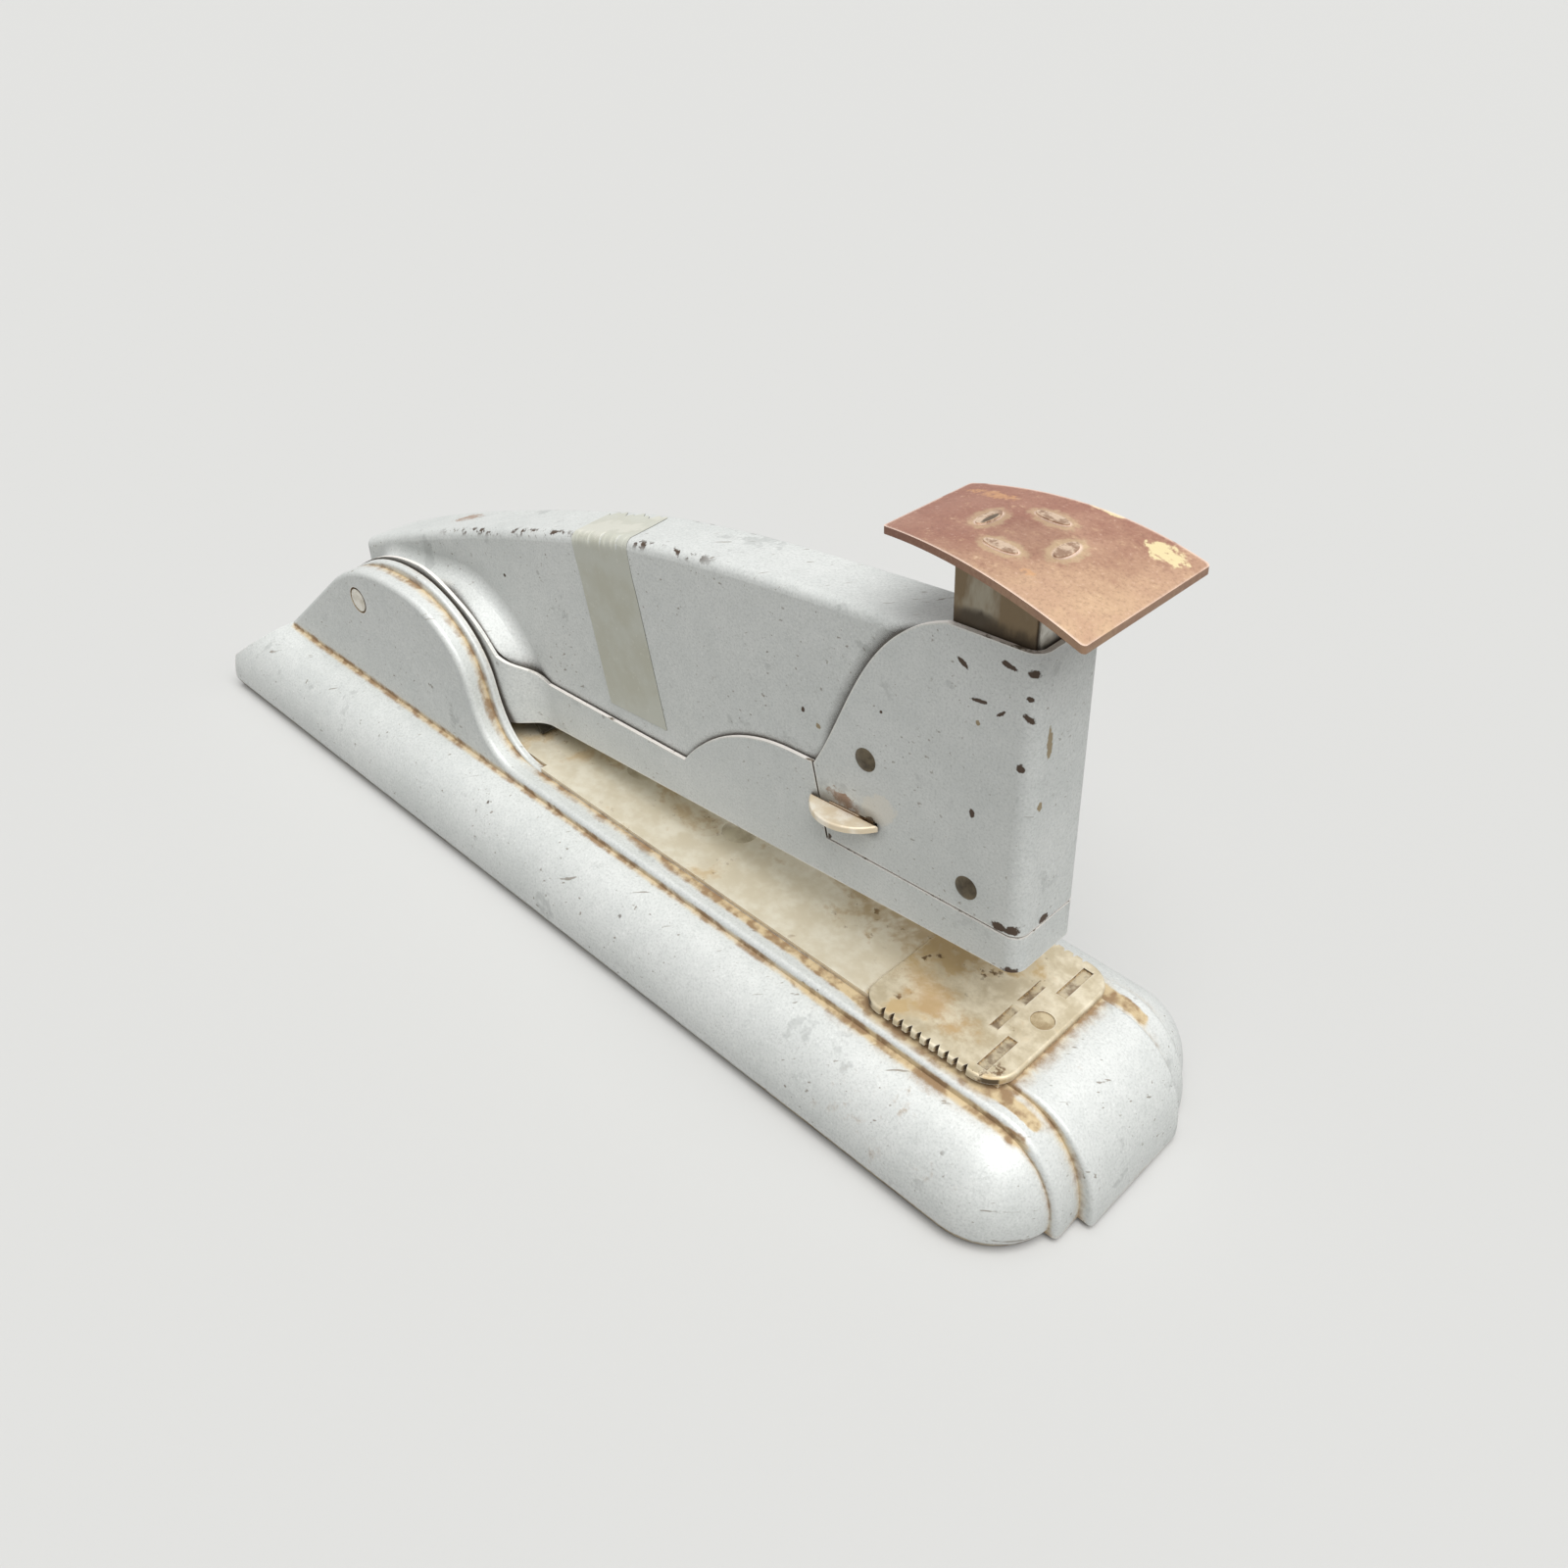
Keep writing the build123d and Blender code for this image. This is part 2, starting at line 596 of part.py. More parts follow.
def anvil_plate():
    """Sliding anvil with finger teeth, forming grooves and stamped marks."""
    half = ANVIL_WIDTH / 2
    rear = ANVIL_FRONT - ANVIL_LENGTH
    plate = block((rear, -half, ANVIL_BOTTOM), (ANVIL_FRONT, half, ANVIL_TOP))
    corners = plate.edges().filter_by(Axis.Z).group_by(Axis.X)
    plate = fillet(corners[-1], ANVIL_CORNER)
    plate = fillet(plate.edges().filter_by(Axis.Z).group_by(Axis.X)[0], ANVIL_REAR_CORNER)
    plate = fillet(plate.faces().sort_by(Axis.Z)[-1].edges(), ANVIL_EDGE_ROUND)
    for tooth in range(TOOTH_COUNT):
        x = rear + ANVIL_REAR_CORNER + TOOTH_PITCH * (tooth + 0.5)
        for side in (-1, 1):
            notch = Polyline(
                (x - TOOTH_PITCH / 2, side * (half + TOOTH_DEPTH)),
                (x, side * (half - TOOTH_DEPTH)),
                (x + TOOTH_PITCH / 2, side * (half + TOOTH_DEPTH)),
                close=True,
            )
            plate -= plan_solid(notch, ANVIL_BOTTOM - TOOTH_DEPTH, ANVIL_TOP + TOOTH_DEPTH)
    for side in (-1, 1):
        y = side * FORMING_SPREAD / 2
        groove = Pos(EXIT_X - FORMING_SETBACK, y, ANVIL_TOP + FORMING_RADIUS - FORMING_DEPTH)
        plate -= groove * Rot(0, 90, 0) * Cylinder(FORMING_RADIUS, FORMING_WIDTH)
        stamp_y = side * STAMP_SPREAD / 2
        stamp = (ANVIL_FRONT - STAMP_FRONT_GAP, stamp_y, ANVIL_TOP)
        plate -= Pos(*stamp) * Box(STAMP_WIDTH, STAMP_LENGTH, STAMP_DEPTH * 2)
    return plate - post(STUD_X, 0, STUD_RADIUS, 0, TALL)


def anvil_stud():
    """Shouldered stud riveted into the anvil, running in the deck's slot."""
    web = PLATE_UNDERSIDE - STUD_WEB
    clip_top = web - SLIDE_CLEARANCE / 2
    stud = post(STUD_X, 0, STUD_RADIUS, ANVIL_BOTTOM, ANVIL_TOP - STUD_SINK)
    stud += post(STUD_X, 0, STUD_COLLAR_RADIUS, clip_top, ANVIL_BOTTOM)
    return stud + post(STUD_X, 0, STUD_SHANK_RADIUS, clip_top - CLIP_THICKNESS - STUD_TAIL, clip_top)


def anvil_clip():
    """Spring washer that holds the stud up against the casting."""
    clip_top = PLATE_UNDERSIDE - STUD_WEB - SLIDE_CLEARANCE / 2
    ring = post(STUD_X, 0, CLIP_RADIUS, clip_top - CLIP_THICKNESS, clip_top)
    return ring - post(STUD_X, 0, STUD_SHANK_RADIUS, 0, TALL)


def flared_plan(tail, front, half, flare_half, flare_rear, flare_front, corner):
    """Plan of a sheet box that flares at its tail and has rounded front corners."""
    edge = Line((tail, 0), (tail, flare_half))
    edge += Line((tail, flare_half), (flare_rear, flare_half))
    edge += Spline(((flare_rear, flare_half), (flare_front, half)), tangents=((1, 0), (1, 0)))
    edge += Line((flare_front, half), (front - corner, half))
    edge += RadiusArc((front - corner, half), (front, half - corner), corner)
    edge += Line((front, half - corner), (front, 0))
    return edge + mirror(edge, Plane.XZ)


def channel_outline():
    """Side view of the magazine, with the lip at the ears and the arch behind the head."""
    drop = -CHANNEL_DROP
    lip_top = EAR_RISE - LIP_INSET
    lip_rear = (-CHANNEL_TAIL, lip_top - LIP_TAIL_DROP)
    shoulder = (EAR_FRONT - LIP_SHOULDER_BACK, lip_top - LIP_SHOULDER_DROP)
    kink = (EAR_FRONT, -LIP_KINK_DROP)
    corner = (CHANNEL_FLARE_FRONT, parting(CHANNEL_FLARE_FRONT))
    lip = Spline(
        (lip_rear, (EAR_CREST, lip_top), shoulder, kink),
        tangents=((1, LIP_TAIL_SLOPE), (1, 0), (1, -LIP_SHOULDER_FALL), (1, -LIP_FALL)),
    )
    arch_start = (ARCH_REAR, parting(ARCH_REAR))
    arch_end = (ARCH_CREST, ARCH_RISE)
    peak = (HEAD_PEAK - SEAM, ARCH_RISE)
    foot = (HEAD_FOOT_REAR - SEAM, parting(HEAD_FOOT_REAR))
    outline = Polyline(
        (ARM_REACH, drop),
        (CHANNEL_FLOOR_REAR, drop),
        (-CHANNEL_TAIL, -CHANNEL_TAIL_DROP),
        lip_rear,
    )
    outline += lip
    outline += Polyline(kink, corner, arch_start)
    outline += TangentArc((arch_end, arch_start), tangent=(-1, 0))
    outline += Polyline(arch_end, peak, foot, (ARM_REACH, PARTING_FRONT), (ARM_REACH, drop))
    return outline


def magazine_channel():
    """Folded channel that carries the staples and hangs on the hinge pin."""
    outer = plan_solid(
        flared_plan(
            -CHANNEL_TAIL, ARM_REACH, CHANNEL_HALF, FLARE_HALF,
            CHANNEL_FLARE_REAR, CHANNEL_FLARE_FRONT, FRONT_CORNER,
        ),
        -CHANNEL_DROP,
        EAR_RISE,
    )
    inner = plan_solid(
        flared_plan(
            -CHANNEL_TAIL - CHANNEL_SHEET, ARM_REACH - CHANNEL_SHEET,
            CHANNEL_INNER_HALF, FLARE_INNER_HALF,
            CHANNEL_FLARE_REAR, CHANNEL_FLARE_FRONT, FRONT_CORNER - CHANNEL_SHEET,
        ),
        FLOOR_TOP,
        EAR_RISE + CHANNEL_SHEET,
    )
    channel = (outer & side_solid(channel_outline(), WIDE)) - inner
    channel -= cross_pin(0, 0, PIN_RADIUS + RUNNING_CLEARANCE, -WIDE, WIDE)
    slot_front = ARM_REACH - CHANNEL_SHEET
    half = STAPLE_WIDTH / 2 + SLIDE_CLEARANCE
    channel -= block((slot_front - EXIT_SLOT, -half, -CHANNEL_DROP), (slot_front, half, FLOOR_TOP))
    for x in rail_rivet_places():
        channel -= post(x, 0, RAIL_RIVET_RADIUS, -CHANNEL_DROP, FLOOR_TOP)
    return channel


def rail_rivet_places():
    """Places along the arm where the rail is riveted to the channel's floor."""
    return (
        RAIL_REAR + RAIL_RIVET_INSET,
        STRIP_REAR - FOLLOWER_LENGTH - RAIL_RIVET_INSET,
        STRIP_FRONT - RAIL_RIVET_INSET,
    )


def staple_rail():
    """Folded rail that the staples straddle."""
    front = STRIP_FRONT
    rail = block((RAIL_REAR, -RAIL_HALF, FLOOR_TOP), (front, RAIL_HALF, RAIL_TOP))
    inner_half = RAIL_HALF - RAIL_SHEET
    inside = RAIL_TOP - RAIL_SHEET
    floor = FLOOR_TOP + RAIL_SHEET
    rail -= block((RAIL_REAR, -inner_half, floor), (front - RAIL_SHEET, inner_half, inside))
    for x in rail_rivet_places():
        rail -= post(x, 0, RAIL_RIVET_RADIUS, FLOOR_TOP, floor)
    return rail


def rail_rivets():
    """Flush rivets through the channel's floor and the rail's foot."""
    low = -CHANNEL_DROP
    high = FLOOR_TOP + RAIL_SHEET
    heads = []
    for x in rail_rivet_places():
        head = post(x, 0, RAIL_RIVET_RADIUS, low, high)
        heads.append(head + Pos(x, 0, high) * dome(RAIL_RIVET_HEAD_RADIUS, RAIL_RIVET_HEAD))
    return Compound(heads)


def staple_strip():
    """Strip of staples glued side by side over the rail."""
    half = STAPLE_WIDTH / 2
    strip = block((STRIP_REAR, -half, FLOOR_TOP), (STRIP_FRONT, half, STAPLE_TOP))
    inner = half - STAPLE_WIRE
    return strip - block((STRIP_REAR, -inner, FLOOR_TOP), (STRIP_FRONT, inner, STAPLE_TOP - STAPLE_WIRE))


def rod_bracket():
    """Bracket on the rail's tail that holds the spring's guide rod."""
    half = RAIL_HALF - BRACKET_SIDE_GAP
    high = ROD_HEIGHT + FOLLOWER_SPRING_RADIUS
    bracket = block((RAIL_REAR, -half, RAIL_TOP), (BRACKET_FRONT, half, high))
    bracket = fillet(bracket.edges().filter_by(Axis.X).group_by(Axis.Z)[-1], BRACKET_SIDE_GAP)
    return bracket - rod(ROD_HEIGHT, 0, ROD_RADIUS, RAIL_REAR, BRACKET_FRONT)


def guide_rod():
    """Rod inside the follower's spring."""
    return rod(ROD_HEIGHT, 0, ROD_RADIUS, RAIL_REAR - ROD_TAIL, FOLLOWER_FRONT - ROD_NOSE)


def staple_follower():
    """Saddle that pushes the strip along the rail."""
    half = STAPLE_WIDTH / 2
    top = STAPLE_TOP + FOLLOWER_HEIGHT
    legs = block((FOLLOWER_REAR, -half, FLOOR_TOP + SLIDE_CLEARANCE), (FOLLOWER_FRONT, half, STAPLE_TOP))
    inner = RAIL_HALF + SLIDE_CLEARANCE
    ceiling = RAIL_TOP + SLIDE_CLEARANCE
    legs -= block((FOLLOWER_REAR, -inner, FLOOR_TOP), (FOLLOWER_FRONT, inner, ceiling))
    body_half = RAIL_HALF - BRACKET_SIDE_GAP
    body = block((FOLLOWER_REAR, -body_half, ceiling), (FOLLOWER_FRONT, body_half, top))
    body = fillet(body.edges().filter_by(Axis.X).group_by(Axis.Z)[-1], BRACKET_SIDE_GAP)
    hole = rod(ROD_HEIGHT, 0, ROD_RADIUS + RUNNING_CLEARANCE, FOLLOWER_REAR, FOLLOWER_FRONT)
    return legs + body - hole


def follower_spring():
    """Spring on the guide rod between the bracket and the follower."""
    length = FOLLOWER_REAR - BRACKET_FRONT
    spring = coil(FOLLOWER_SPRING_RADIUS, FOLLOWER_SPRING_WIRE, FOLLOWER_SPRING_TURNS, length)
    return Pos(BRACKET_FRONT, 0, ROD_HEIGHT) * Rot(0, 90, 0) * spring


def cover_crest(inset):
    """Top line of the cover, lowered by a sheet thickness for the inside."""
    tail = (-COVER_TAIL + inset, COVER_TAIL_TOP - inset)
    middle = (COVER_MIDDLE, COVER_MIDDLE_HEIGHT - inset)
    front = (COVER_FRONT, COVER_CROWN - inset)
    slopes = (COVER_TAIL_SLOPE, COVER_MIDDLE_SLOPE, COVER_FRONT_SLOPE)
    return tail, front, Spline((tail, middle, front), tangents=[(1, slope) for slope in slopes])


def skirt_outline(shrink):
    """Side view of the cover's cheeks around the hinge, two circles and their tangents."""
    front = Pos(SKIRT_FRONT, -SKIRT_FRONT_DROP) * Circle(SKIRT_FRONT_RADIUS - shrink)
    rear = Pos(0, -SKIRT_REAR_DROP) * Circle(SKIRT_REAR_RADIUS - shrink)
    return make_face(make_hull(front.edges() + rear.edges()))


def cover_width(inset):
    """Straight sides of the cover with a soft skirt that swells out at the hinge."""
    half = COVER_HALF - inset
    rise = COVER_FLARE_HALF - COVER_HALF
    slant = tan(radians(45 - SKIRT_TAPER / 2))
    cheek = Plane.XZ.offset(COVER_FLARE_HALF - inset) * skirt_outline(inset * slant)
    boss = extrude(cheek, -rise, taper=-SKIRT_TAPER)
    width = block((-COVER_TAIL, -half, -TALL), (ARM_REACH, half, TALL))
    width += boss + mirror(boss, Plane.XZ)
    seams = [
        edge
        for edge in width.edges()
        if abs(abs(edge.center().Y) - half) < 0.01 and edge.bounding_box().max.Z < HEAD_TOP
    ]
    return fillet(seams, SKIRT_ROUND + inset)


def cover_body(inset):
    """Solid envelope of the cover, shrunk by an inset for the inside."""
    tail, front, crest = cover_crest(inset)
    low = parting(CHANNEL_FLARE_FRONT) - COVER_TUCK
    step = HEAD_PEAK - SEAM - FRONT_CORNER
    outline = crest + Polyline(
        front,
        (front[0], COVER_FRONT_EDGE),
        (step, COVER_FRONT_EDGE),
        (step, parting(step) - COVER_TUCK),
        (CHANNEL_FLARE_FRONT, low),
        (-COVER_HEEL, low),
        (tail[0], COVER_TAIL_TOP - COVER_TAIL_DEPTH),
        tail,
    )
    plan = flared_plan(
        tail[0], COVER_FRONT + COVER_FRONT_GAP, COVER_HALF - inset, COVER_FLARE_HALF - inset,
        COVER_FLARE_REAR, COVER_FLARE_FRONT, COVER_SHEET,
    )
    body = plan_solid(plan, -CHANNEL_DROP, HEAD_TOP) & side_solid(outline, WIDE) & cover_width(inset)
    upright = body.edges().filter_by(Axis.Z)
    tail_edges = [edge for edge in upright if edge.center().X < tail[0] + COVER_SHEET]
    body = fillet(tail_edges, COVER_TAIL_CORNER - inset)
    top = max(body.faces(), key=lambda face: face.center().Z)
    round_edges = [edge for edge in top.edges() if edge.center().X < COVER_FRONT - COVER_SHEET]
    return fillet(round_edges, COVER_EDGE_ROUND - inset)


def top_cover():
    """Long pressed cover that lifts for loading."""
    cover = cover_body(0) - cover_body(COVER_SHEET)
    cover -= cross_pin(0, 0, PIN_RADIUS + RUNNING_CLEARANCE, -WIDE, WIDE)
    rivet_x = ARM_REACH - COVER_RIVET_BACK
    return cover - cross_pin(rivet_x, COVER_RIVET_HEIGHT, HEAD_RIVET_SHANK, -WIDE, WIDE)


def pivot_bush():
    """Tube on the hinge pin that keeps the cover's cheeks apart."""
    half = COVER_FLARE_HALF - COVER_SHEET
    tube = cross_pin(0, 0, PIN_RADIUS + BUSH_WALL, -half, half)
    return tube - cross_pin(0, 0, PIN_RADIUS + RUNNING_CLEARANCE, -half, half)


def head_outline():
    """Side view of the head, with the swept edge behind it."""
    foot = (HEAD_FOOT_REAR, parting(HEAD_FOOT_REAR) + SEAM)
    peak = (HEAD_PEAK, ARCH_RISE)
    top = (ARM_REACH - HEAD_TOP_LENGTH, HEAD_TOP)
    between = [(peak[0] + x, peak[1] + z) for x, z in (HEAD_SWEEP_LOW, HEAD_SWEEP_HIGH)]
    sweep_edge = Spline((peak, *between, top))
    outline = Polyline(top, (ARM_REACH, HEAD_TOP), (ARM_REACH, PARTING_FRONT + SEAM), foot, peak)
    return outline + sweep_edge


def head_plan(front, half, corner):
    """Plan of the folded head sheet."""
    rear = HEAD_PEAK - FRONT_CORNER
    return flared_plan(rear, front, half, half, rear + FRONT_CORNER / 2, rear + FRONT_CORNER, corner)


def head_housing():
    """Folded head around the plunger, fixed to the front of the cover."""
    outer = plan_solid(head_plan(ARM_REACH, CHANNEL_HALF, FRONT_CORNER), -CHANNEL_DROP, HEAD_TOP)
    inner_corner = FRONT_CORNER - HEAD_SHEET
    inner = plan_solid(head_plan(HEAD_INNER_FRONT, COVER_HALF, inner_corner), -TALL, TALL)
    inner += block((0, -COVER_HALF, -TALL), (HEAD_PEAK, COVER_HALF, TALL))
    head = (outer & side_solid(head_outline(), WIDE)) - inner
    for back, height in head_rivet_places():
        head -= cross_pin(ARM_REACH - back, height, HEAD_RIVET_SHANK, -WIDE, WIDE)
    slot_low = TAB_HEIGHT - SLIDE_CLEARANCE
    slot_high = TAB_HEIGHT + TAB_THICKNESS + SLIDE_CLEARANCE
    slot_front = STEM_REAR + STEM_LENGTH + LATCH_TRAVEL + SLIDE_CLEARANCE
    return head - block((STEM_REAR - SLIDE_CLEARANCE, -WIDE, slot_low), (slot_front, 0, slot_high))


def head_rivet_places():
    """Distance behind the head's front and height of each pair of rivets."""
    return ((COVER_RIVET_BACK, COVER_RIVET_HEIGHT), (SEAT_RIVET_BACK, SEAT_RIVET_HEIGHT))


def head_rivets():
    """Two rivets on each side of the head."""
    rivets = []
    for back, height in head_rivet_places():
        x = ARM_REACH - back
        depth = COVER_INNER_HALF if back == COVER_RIVET_BACK else COVER_HALF - SEAT_SHEET
        one = cross_pin(x, height, HEAD_RIVET_SHANK, -CHANNEL_HALF, -depth)
        head = Pos(x, -CHANNEL_HALF, height) * Rot(90, 0, 0)
        one += head * dome(HEAD_RIVET_RADIUS, HEAD_RIVET_DOME)
        rivets += [one, mirror(one, Plane.XZ)]
    return Compound(rivets)


def spring_seat():
    """Bridge inside the head that the plunger's spring stands on."""
    low = SEAT_TOP - SEAT_DEPTH
    seat = block((SEAT_REAR, -COVER_HALF, low), (SEAT_FRONT, COVER_HALF, SEAT_TOP))
    inner = COVER_HALF - SEAT_SHEET
    seat -= block((SEAT_REAR, -inner, low), (SEAT_FRONT, inner, SEAT_TOP - SEAT_SHEET))
    rivet_x = ARM_REACH - SEAT_RIVET_BACK
    return seat - cross_pin(rivet_x, SEAT_RIVET_HEIGHT, HEAD_RIVET_SHANK, -WIDE, WIDE)


def cap_arc(lift):
    """Arched side view of the cap's top, raised by a lift."""
    rear = (CAP_REAR, CAP_REAR_HEIGHT + lift)
    front = (CAP_FRONT, CAP_FRONT_HEIGHT + lift)
    crown = (CAP_REAR_HEIGHT + CAP_FRONT_HEIGHT) / 2 + CAP_ARCH + lift
    middle = ((CAP_REAR + CAP_FRONT) / 2, crown)
    return rear, front, ThreePointArc(rear, middle, front)


def under_cap(lift):
    """Everything between the plunger's foot and the cap's top moved by a lift."""
    rear, front, arc = cap_arc(lift)
    outline = arc + Polyline(front, (front[0], PLUNGER_FOOT), (rear[0], PLUNGER_FOOT), rear)
    return side_solid(outline, WIDE)


def cap_stakes():
    """Four peened tabs, one from each wall of the plunger, as posts through the cap."""
    long = STAKE_LENGTH / 2
    short = STAKE_WIDTH / 2
    across = PLUNGER_HALF - PLUNGER_SHEET / 2
    along = (PLUNGER_LENGTH - PLUNGER_SHEET) / 2
    lengthways = [Pos(PLUNGER_MIDDLE, side * across) * Ellipse(long, short) for side in (-1, 1)]
    crossways = [Pos(PLUNGER_MIDDLE + end * along, 0) * Ellipse(short, long) for end in (-1, 1)]
    return [extrude(Pos(0, 0, PLUNGER_FOOT) * oval, TALL) for oval in lengthways + crossways]


def striking_cap():
    """Arched cap that the hand strikes, wider towards the front."""
    rear_half = CAP_REAR_WIDTH / 2
    front_half = CAP_FRONT_WIDTH / 2
    middle = ((CAP_REAR + CAP_FRONT) / 2, (rear_half + front_half) / 2 + CAP_SIDE_BOW)
    edge = Line((CAP_REAR, 0), (CAP_REAR, rear_half))
    edge += ThreePointArc((CAP_REAR, rear_half), middle, (CAP_FRONT, front_half))
    edge += Line((CAP_FRONT, front_half), (CAP_FRONT, 0))
    plan = plan_solid(edge + mirror(edge, Plane.XZ), PLUNGER_FOOT, TALL)
    plan = fillet(plan.edges().filter_by(Axis.Z), CAP_CORNER)
    cap = plan & under_cap(0)
    cap -= under_cap(-CAP_THICKNESS)
    for stake in cap_stakes():
        cap -= stake
    return cap


def plunger_box():
    """Sheet box under the cap, staked to it and sliding in the head."""
    half = PLUNGER_HALF
    box = block((PLUNGER_REAR, -half, PLUNGER_FOOT), (PLUNGER_FRONT, half, TALL))
    inner = half - PLUNGER_SHEET
    box -= block(
        (PLUNGER_REAR + PLUNGER_SHEET, -inner, PLUNGER_FOOT),
        (PLUNGER_FRONT - PLUNGER_SHEET, inner, TALL),
    )
    walls = box & under_cap(-CAP_THICKNESS)
    for stake in cap_stakes():
        walls += (stake & under_cap(STAKE_RISE)) - under_cap(-CAP_THICKNESS)
    for height in blade_rivet_heights():
        walls -= rod(height, 0, BLADE_RIVET_RADIUS, PLUNGER_FRONT - PLUNGER_SHEET, PLUNGER_FRONT)
    return walls


def blade_top():
    """Height of the driver blade's upper end."""
    return CAP_FRONT_HEIGHT - BLADE_TOP_GAP


def blade_rivet_heights():
    """Heights of the rivets that hold the blade to the plunger."""
    upper = blade_top() - BLADE_RIVET_PITCH / 2
    return (upper - BLADE_RIVET_PITCH, upper)


def driver_blade():
    """Flat blade that drives the first staple."""
    half = COVER_HALF - BLADE_SIDE_GAP
    blade = block((PLUNGER_FRONT, -half, STAPLE_TOP + BLADE_TIP), (BLADE_FRONT, half, blade_top()))
    for height in blade_rivet_heights():
        blade -= rod(height, 0, BLADE_RIVET_RADIUS, PLUNGER_FRONT, BLADE_FRONT)
    return blade


def blade_rivets():
    """Flush rivets through the blade and the plunger's front wall."""
    start = PLUNGER_FRONT - PLUNGER_SHEET
    return Compound([rod(z, 0, BLADE_RIVET_RADIUS, start, BLADE_FRONT) for z in blade_rivet_heights()])


def plunger_spring():
    """Spring between the seat and the cap."""
    top = CAP_FRONT_HEIGHT + CAP_ARCH - CAP_THICKNESS
    spring = coil(PLUNGER_SPRING_RADIUS, PLUNGER_SPRING_WIRE, PLUNGER_SPRING_TURNS, top - SEAT_TOP)
    return Pos(PLUNGER_MIDDLE, 0, SEAT_TOP) * spring


def release_tab():
    """Thumb tab outside the head, its stem and the latch plate inside."""
    surface = -CHANNEL_HALF - TAB_SURFACE_GAP
    middle = TAB_REAR + TAB_LENS_LENGTH / 2
    lens = Line((TAB_REAR, surface), (TAB_REAR + TAB_LENS_LENGTH, surface))
    lens += ThreePointArc(
        (TAB_REAR, surface),
        (middle, surface - TAB_LENS_REACH),
        (TAB_REAR + TAB_LENS_LENGTH, surface),
    )
    tab = plan_solid(lens, TAB_HEIGHT, TAB_HEIGHT + TAB_THICKNESS)
    tab = fillet(tab.faces().sort_by(Axis.Z)[-1].edges(), TAB_EDGE_ROUND)
    stem_front = STEM_REAR + STEM_LENGTH
    inner = -LATCH_HALF + LATCH_SHEET
    stem = block((STEM_REAR, surface, TAB_HEIGHT), (stem_front, inner, TAB_HEIGHT + TAB_THICKNESS))
    low = TAB_HEIGHT + TAB_THICKNESS - LATCH_DEPTH
    plate_front = STEM_REAR + LATCH_LENGTH
    plate = block((STEM_REAR, -LATCH_HALF, low), (plate_front, inner, TAB_HEIGHT + TAB_THICKNESS))
    return tab + stem + plate


def latch_spring():
    """Spring that pushes the latch back to its catch."""
    start = STEM_REAR + LATCH_LENGTH
    spring = coil(LATCH_SPRING_RADIUS, LATCH_SPRING_WIRE, LATCH_SPRING_TURNS, SEAT_REAR - start)
    y = -LATCH_HALF + LATCH_SPRING_RADIUS
    return Pos(start, y, TAB_HEIGHT - LATCH_DEPTH / 3) * Rot(0, 90, 0) * spring


BASE_PIECES = (
    base_shell,
    platform_plate,
    platform_rivets,
    spring_rivet,
    arm_spring,
    rubber_feet,
    hinge_pin,
    anvil_plate,
    anvil_stud,
    anvil_clip,
)
ARM_PIECES = (
    magazine_channel,
    staple_rail,
    rail_rivets,
    staple_strip,
    rod_bracket,
    guide_rod,
    staple_follower,
    follower_spring,
    top_cover,
    pivot_bush,
    head_housing,
    head_rivets,
    spring_seat,
    striking_cap,
    plunger_box,
    driver_blade,
    blade_rivets,
    plunger_spring,
    release_tab,
    latch_spring,
)

os.makedirs("parts", exist_ok=True)
for make in BASE_PIECES:
    export_step(make(), f"parts/{make.__name__}.step")
for make in ARM_PIECES:
    export_step(ARM_AT_REST * make(), f"parts/{make.__name__}.step")
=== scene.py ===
"""Looks of a worn, silver-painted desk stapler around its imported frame.

Metres. +X runs to the end where the staple leaves, +Z is up, and the release tab is on
the -Y side. Places on the arm are given in the arm's own frame: along it from the hinge,
across it, and above the hinge, square to its length.
"""

import json
import logging
import math
from abc import ABC, abstractmethod
from dataclasses import dataclass, field
from enum import Enum
from typing import Any, Mapping, Optional, Sequence, Union

import bmesh
import bpy
from mathutils import Matrix, Vector
from mathutils.bvhtree import BVHTree


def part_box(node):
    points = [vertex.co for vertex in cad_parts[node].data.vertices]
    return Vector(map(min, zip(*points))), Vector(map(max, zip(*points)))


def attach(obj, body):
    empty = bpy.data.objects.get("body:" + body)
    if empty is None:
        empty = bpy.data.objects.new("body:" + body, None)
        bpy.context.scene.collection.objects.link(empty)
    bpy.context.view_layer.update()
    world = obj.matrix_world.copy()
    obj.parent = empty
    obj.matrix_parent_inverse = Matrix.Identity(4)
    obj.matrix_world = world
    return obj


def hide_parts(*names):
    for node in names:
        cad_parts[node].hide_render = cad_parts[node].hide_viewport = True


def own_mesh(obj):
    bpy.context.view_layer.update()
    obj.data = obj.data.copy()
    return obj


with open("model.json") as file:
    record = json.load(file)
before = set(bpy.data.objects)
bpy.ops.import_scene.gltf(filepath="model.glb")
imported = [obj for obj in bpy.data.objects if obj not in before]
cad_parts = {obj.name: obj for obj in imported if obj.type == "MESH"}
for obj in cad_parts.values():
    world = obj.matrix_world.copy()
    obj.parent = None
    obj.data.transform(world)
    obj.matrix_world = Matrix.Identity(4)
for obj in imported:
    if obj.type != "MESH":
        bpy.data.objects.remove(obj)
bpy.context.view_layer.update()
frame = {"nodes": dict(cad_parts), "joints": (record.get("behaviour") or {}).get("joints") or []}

LOG = logging.getLogger("stapler")
MM = 0.001
MERGE = 0.001 * MM
ACROSS = Vector((0, 1, 0))
UPRIGHT = Vector((0, 0, 1))
LENGTHWAYS = Vector((1, 0, 0))
CORNER_RAYS = 6

Number = Union["Value", float]
Socket = bpy.types.NodeSocket
Colour = tuple[float, float, float, float]
Triple = tuple[float, float, float]


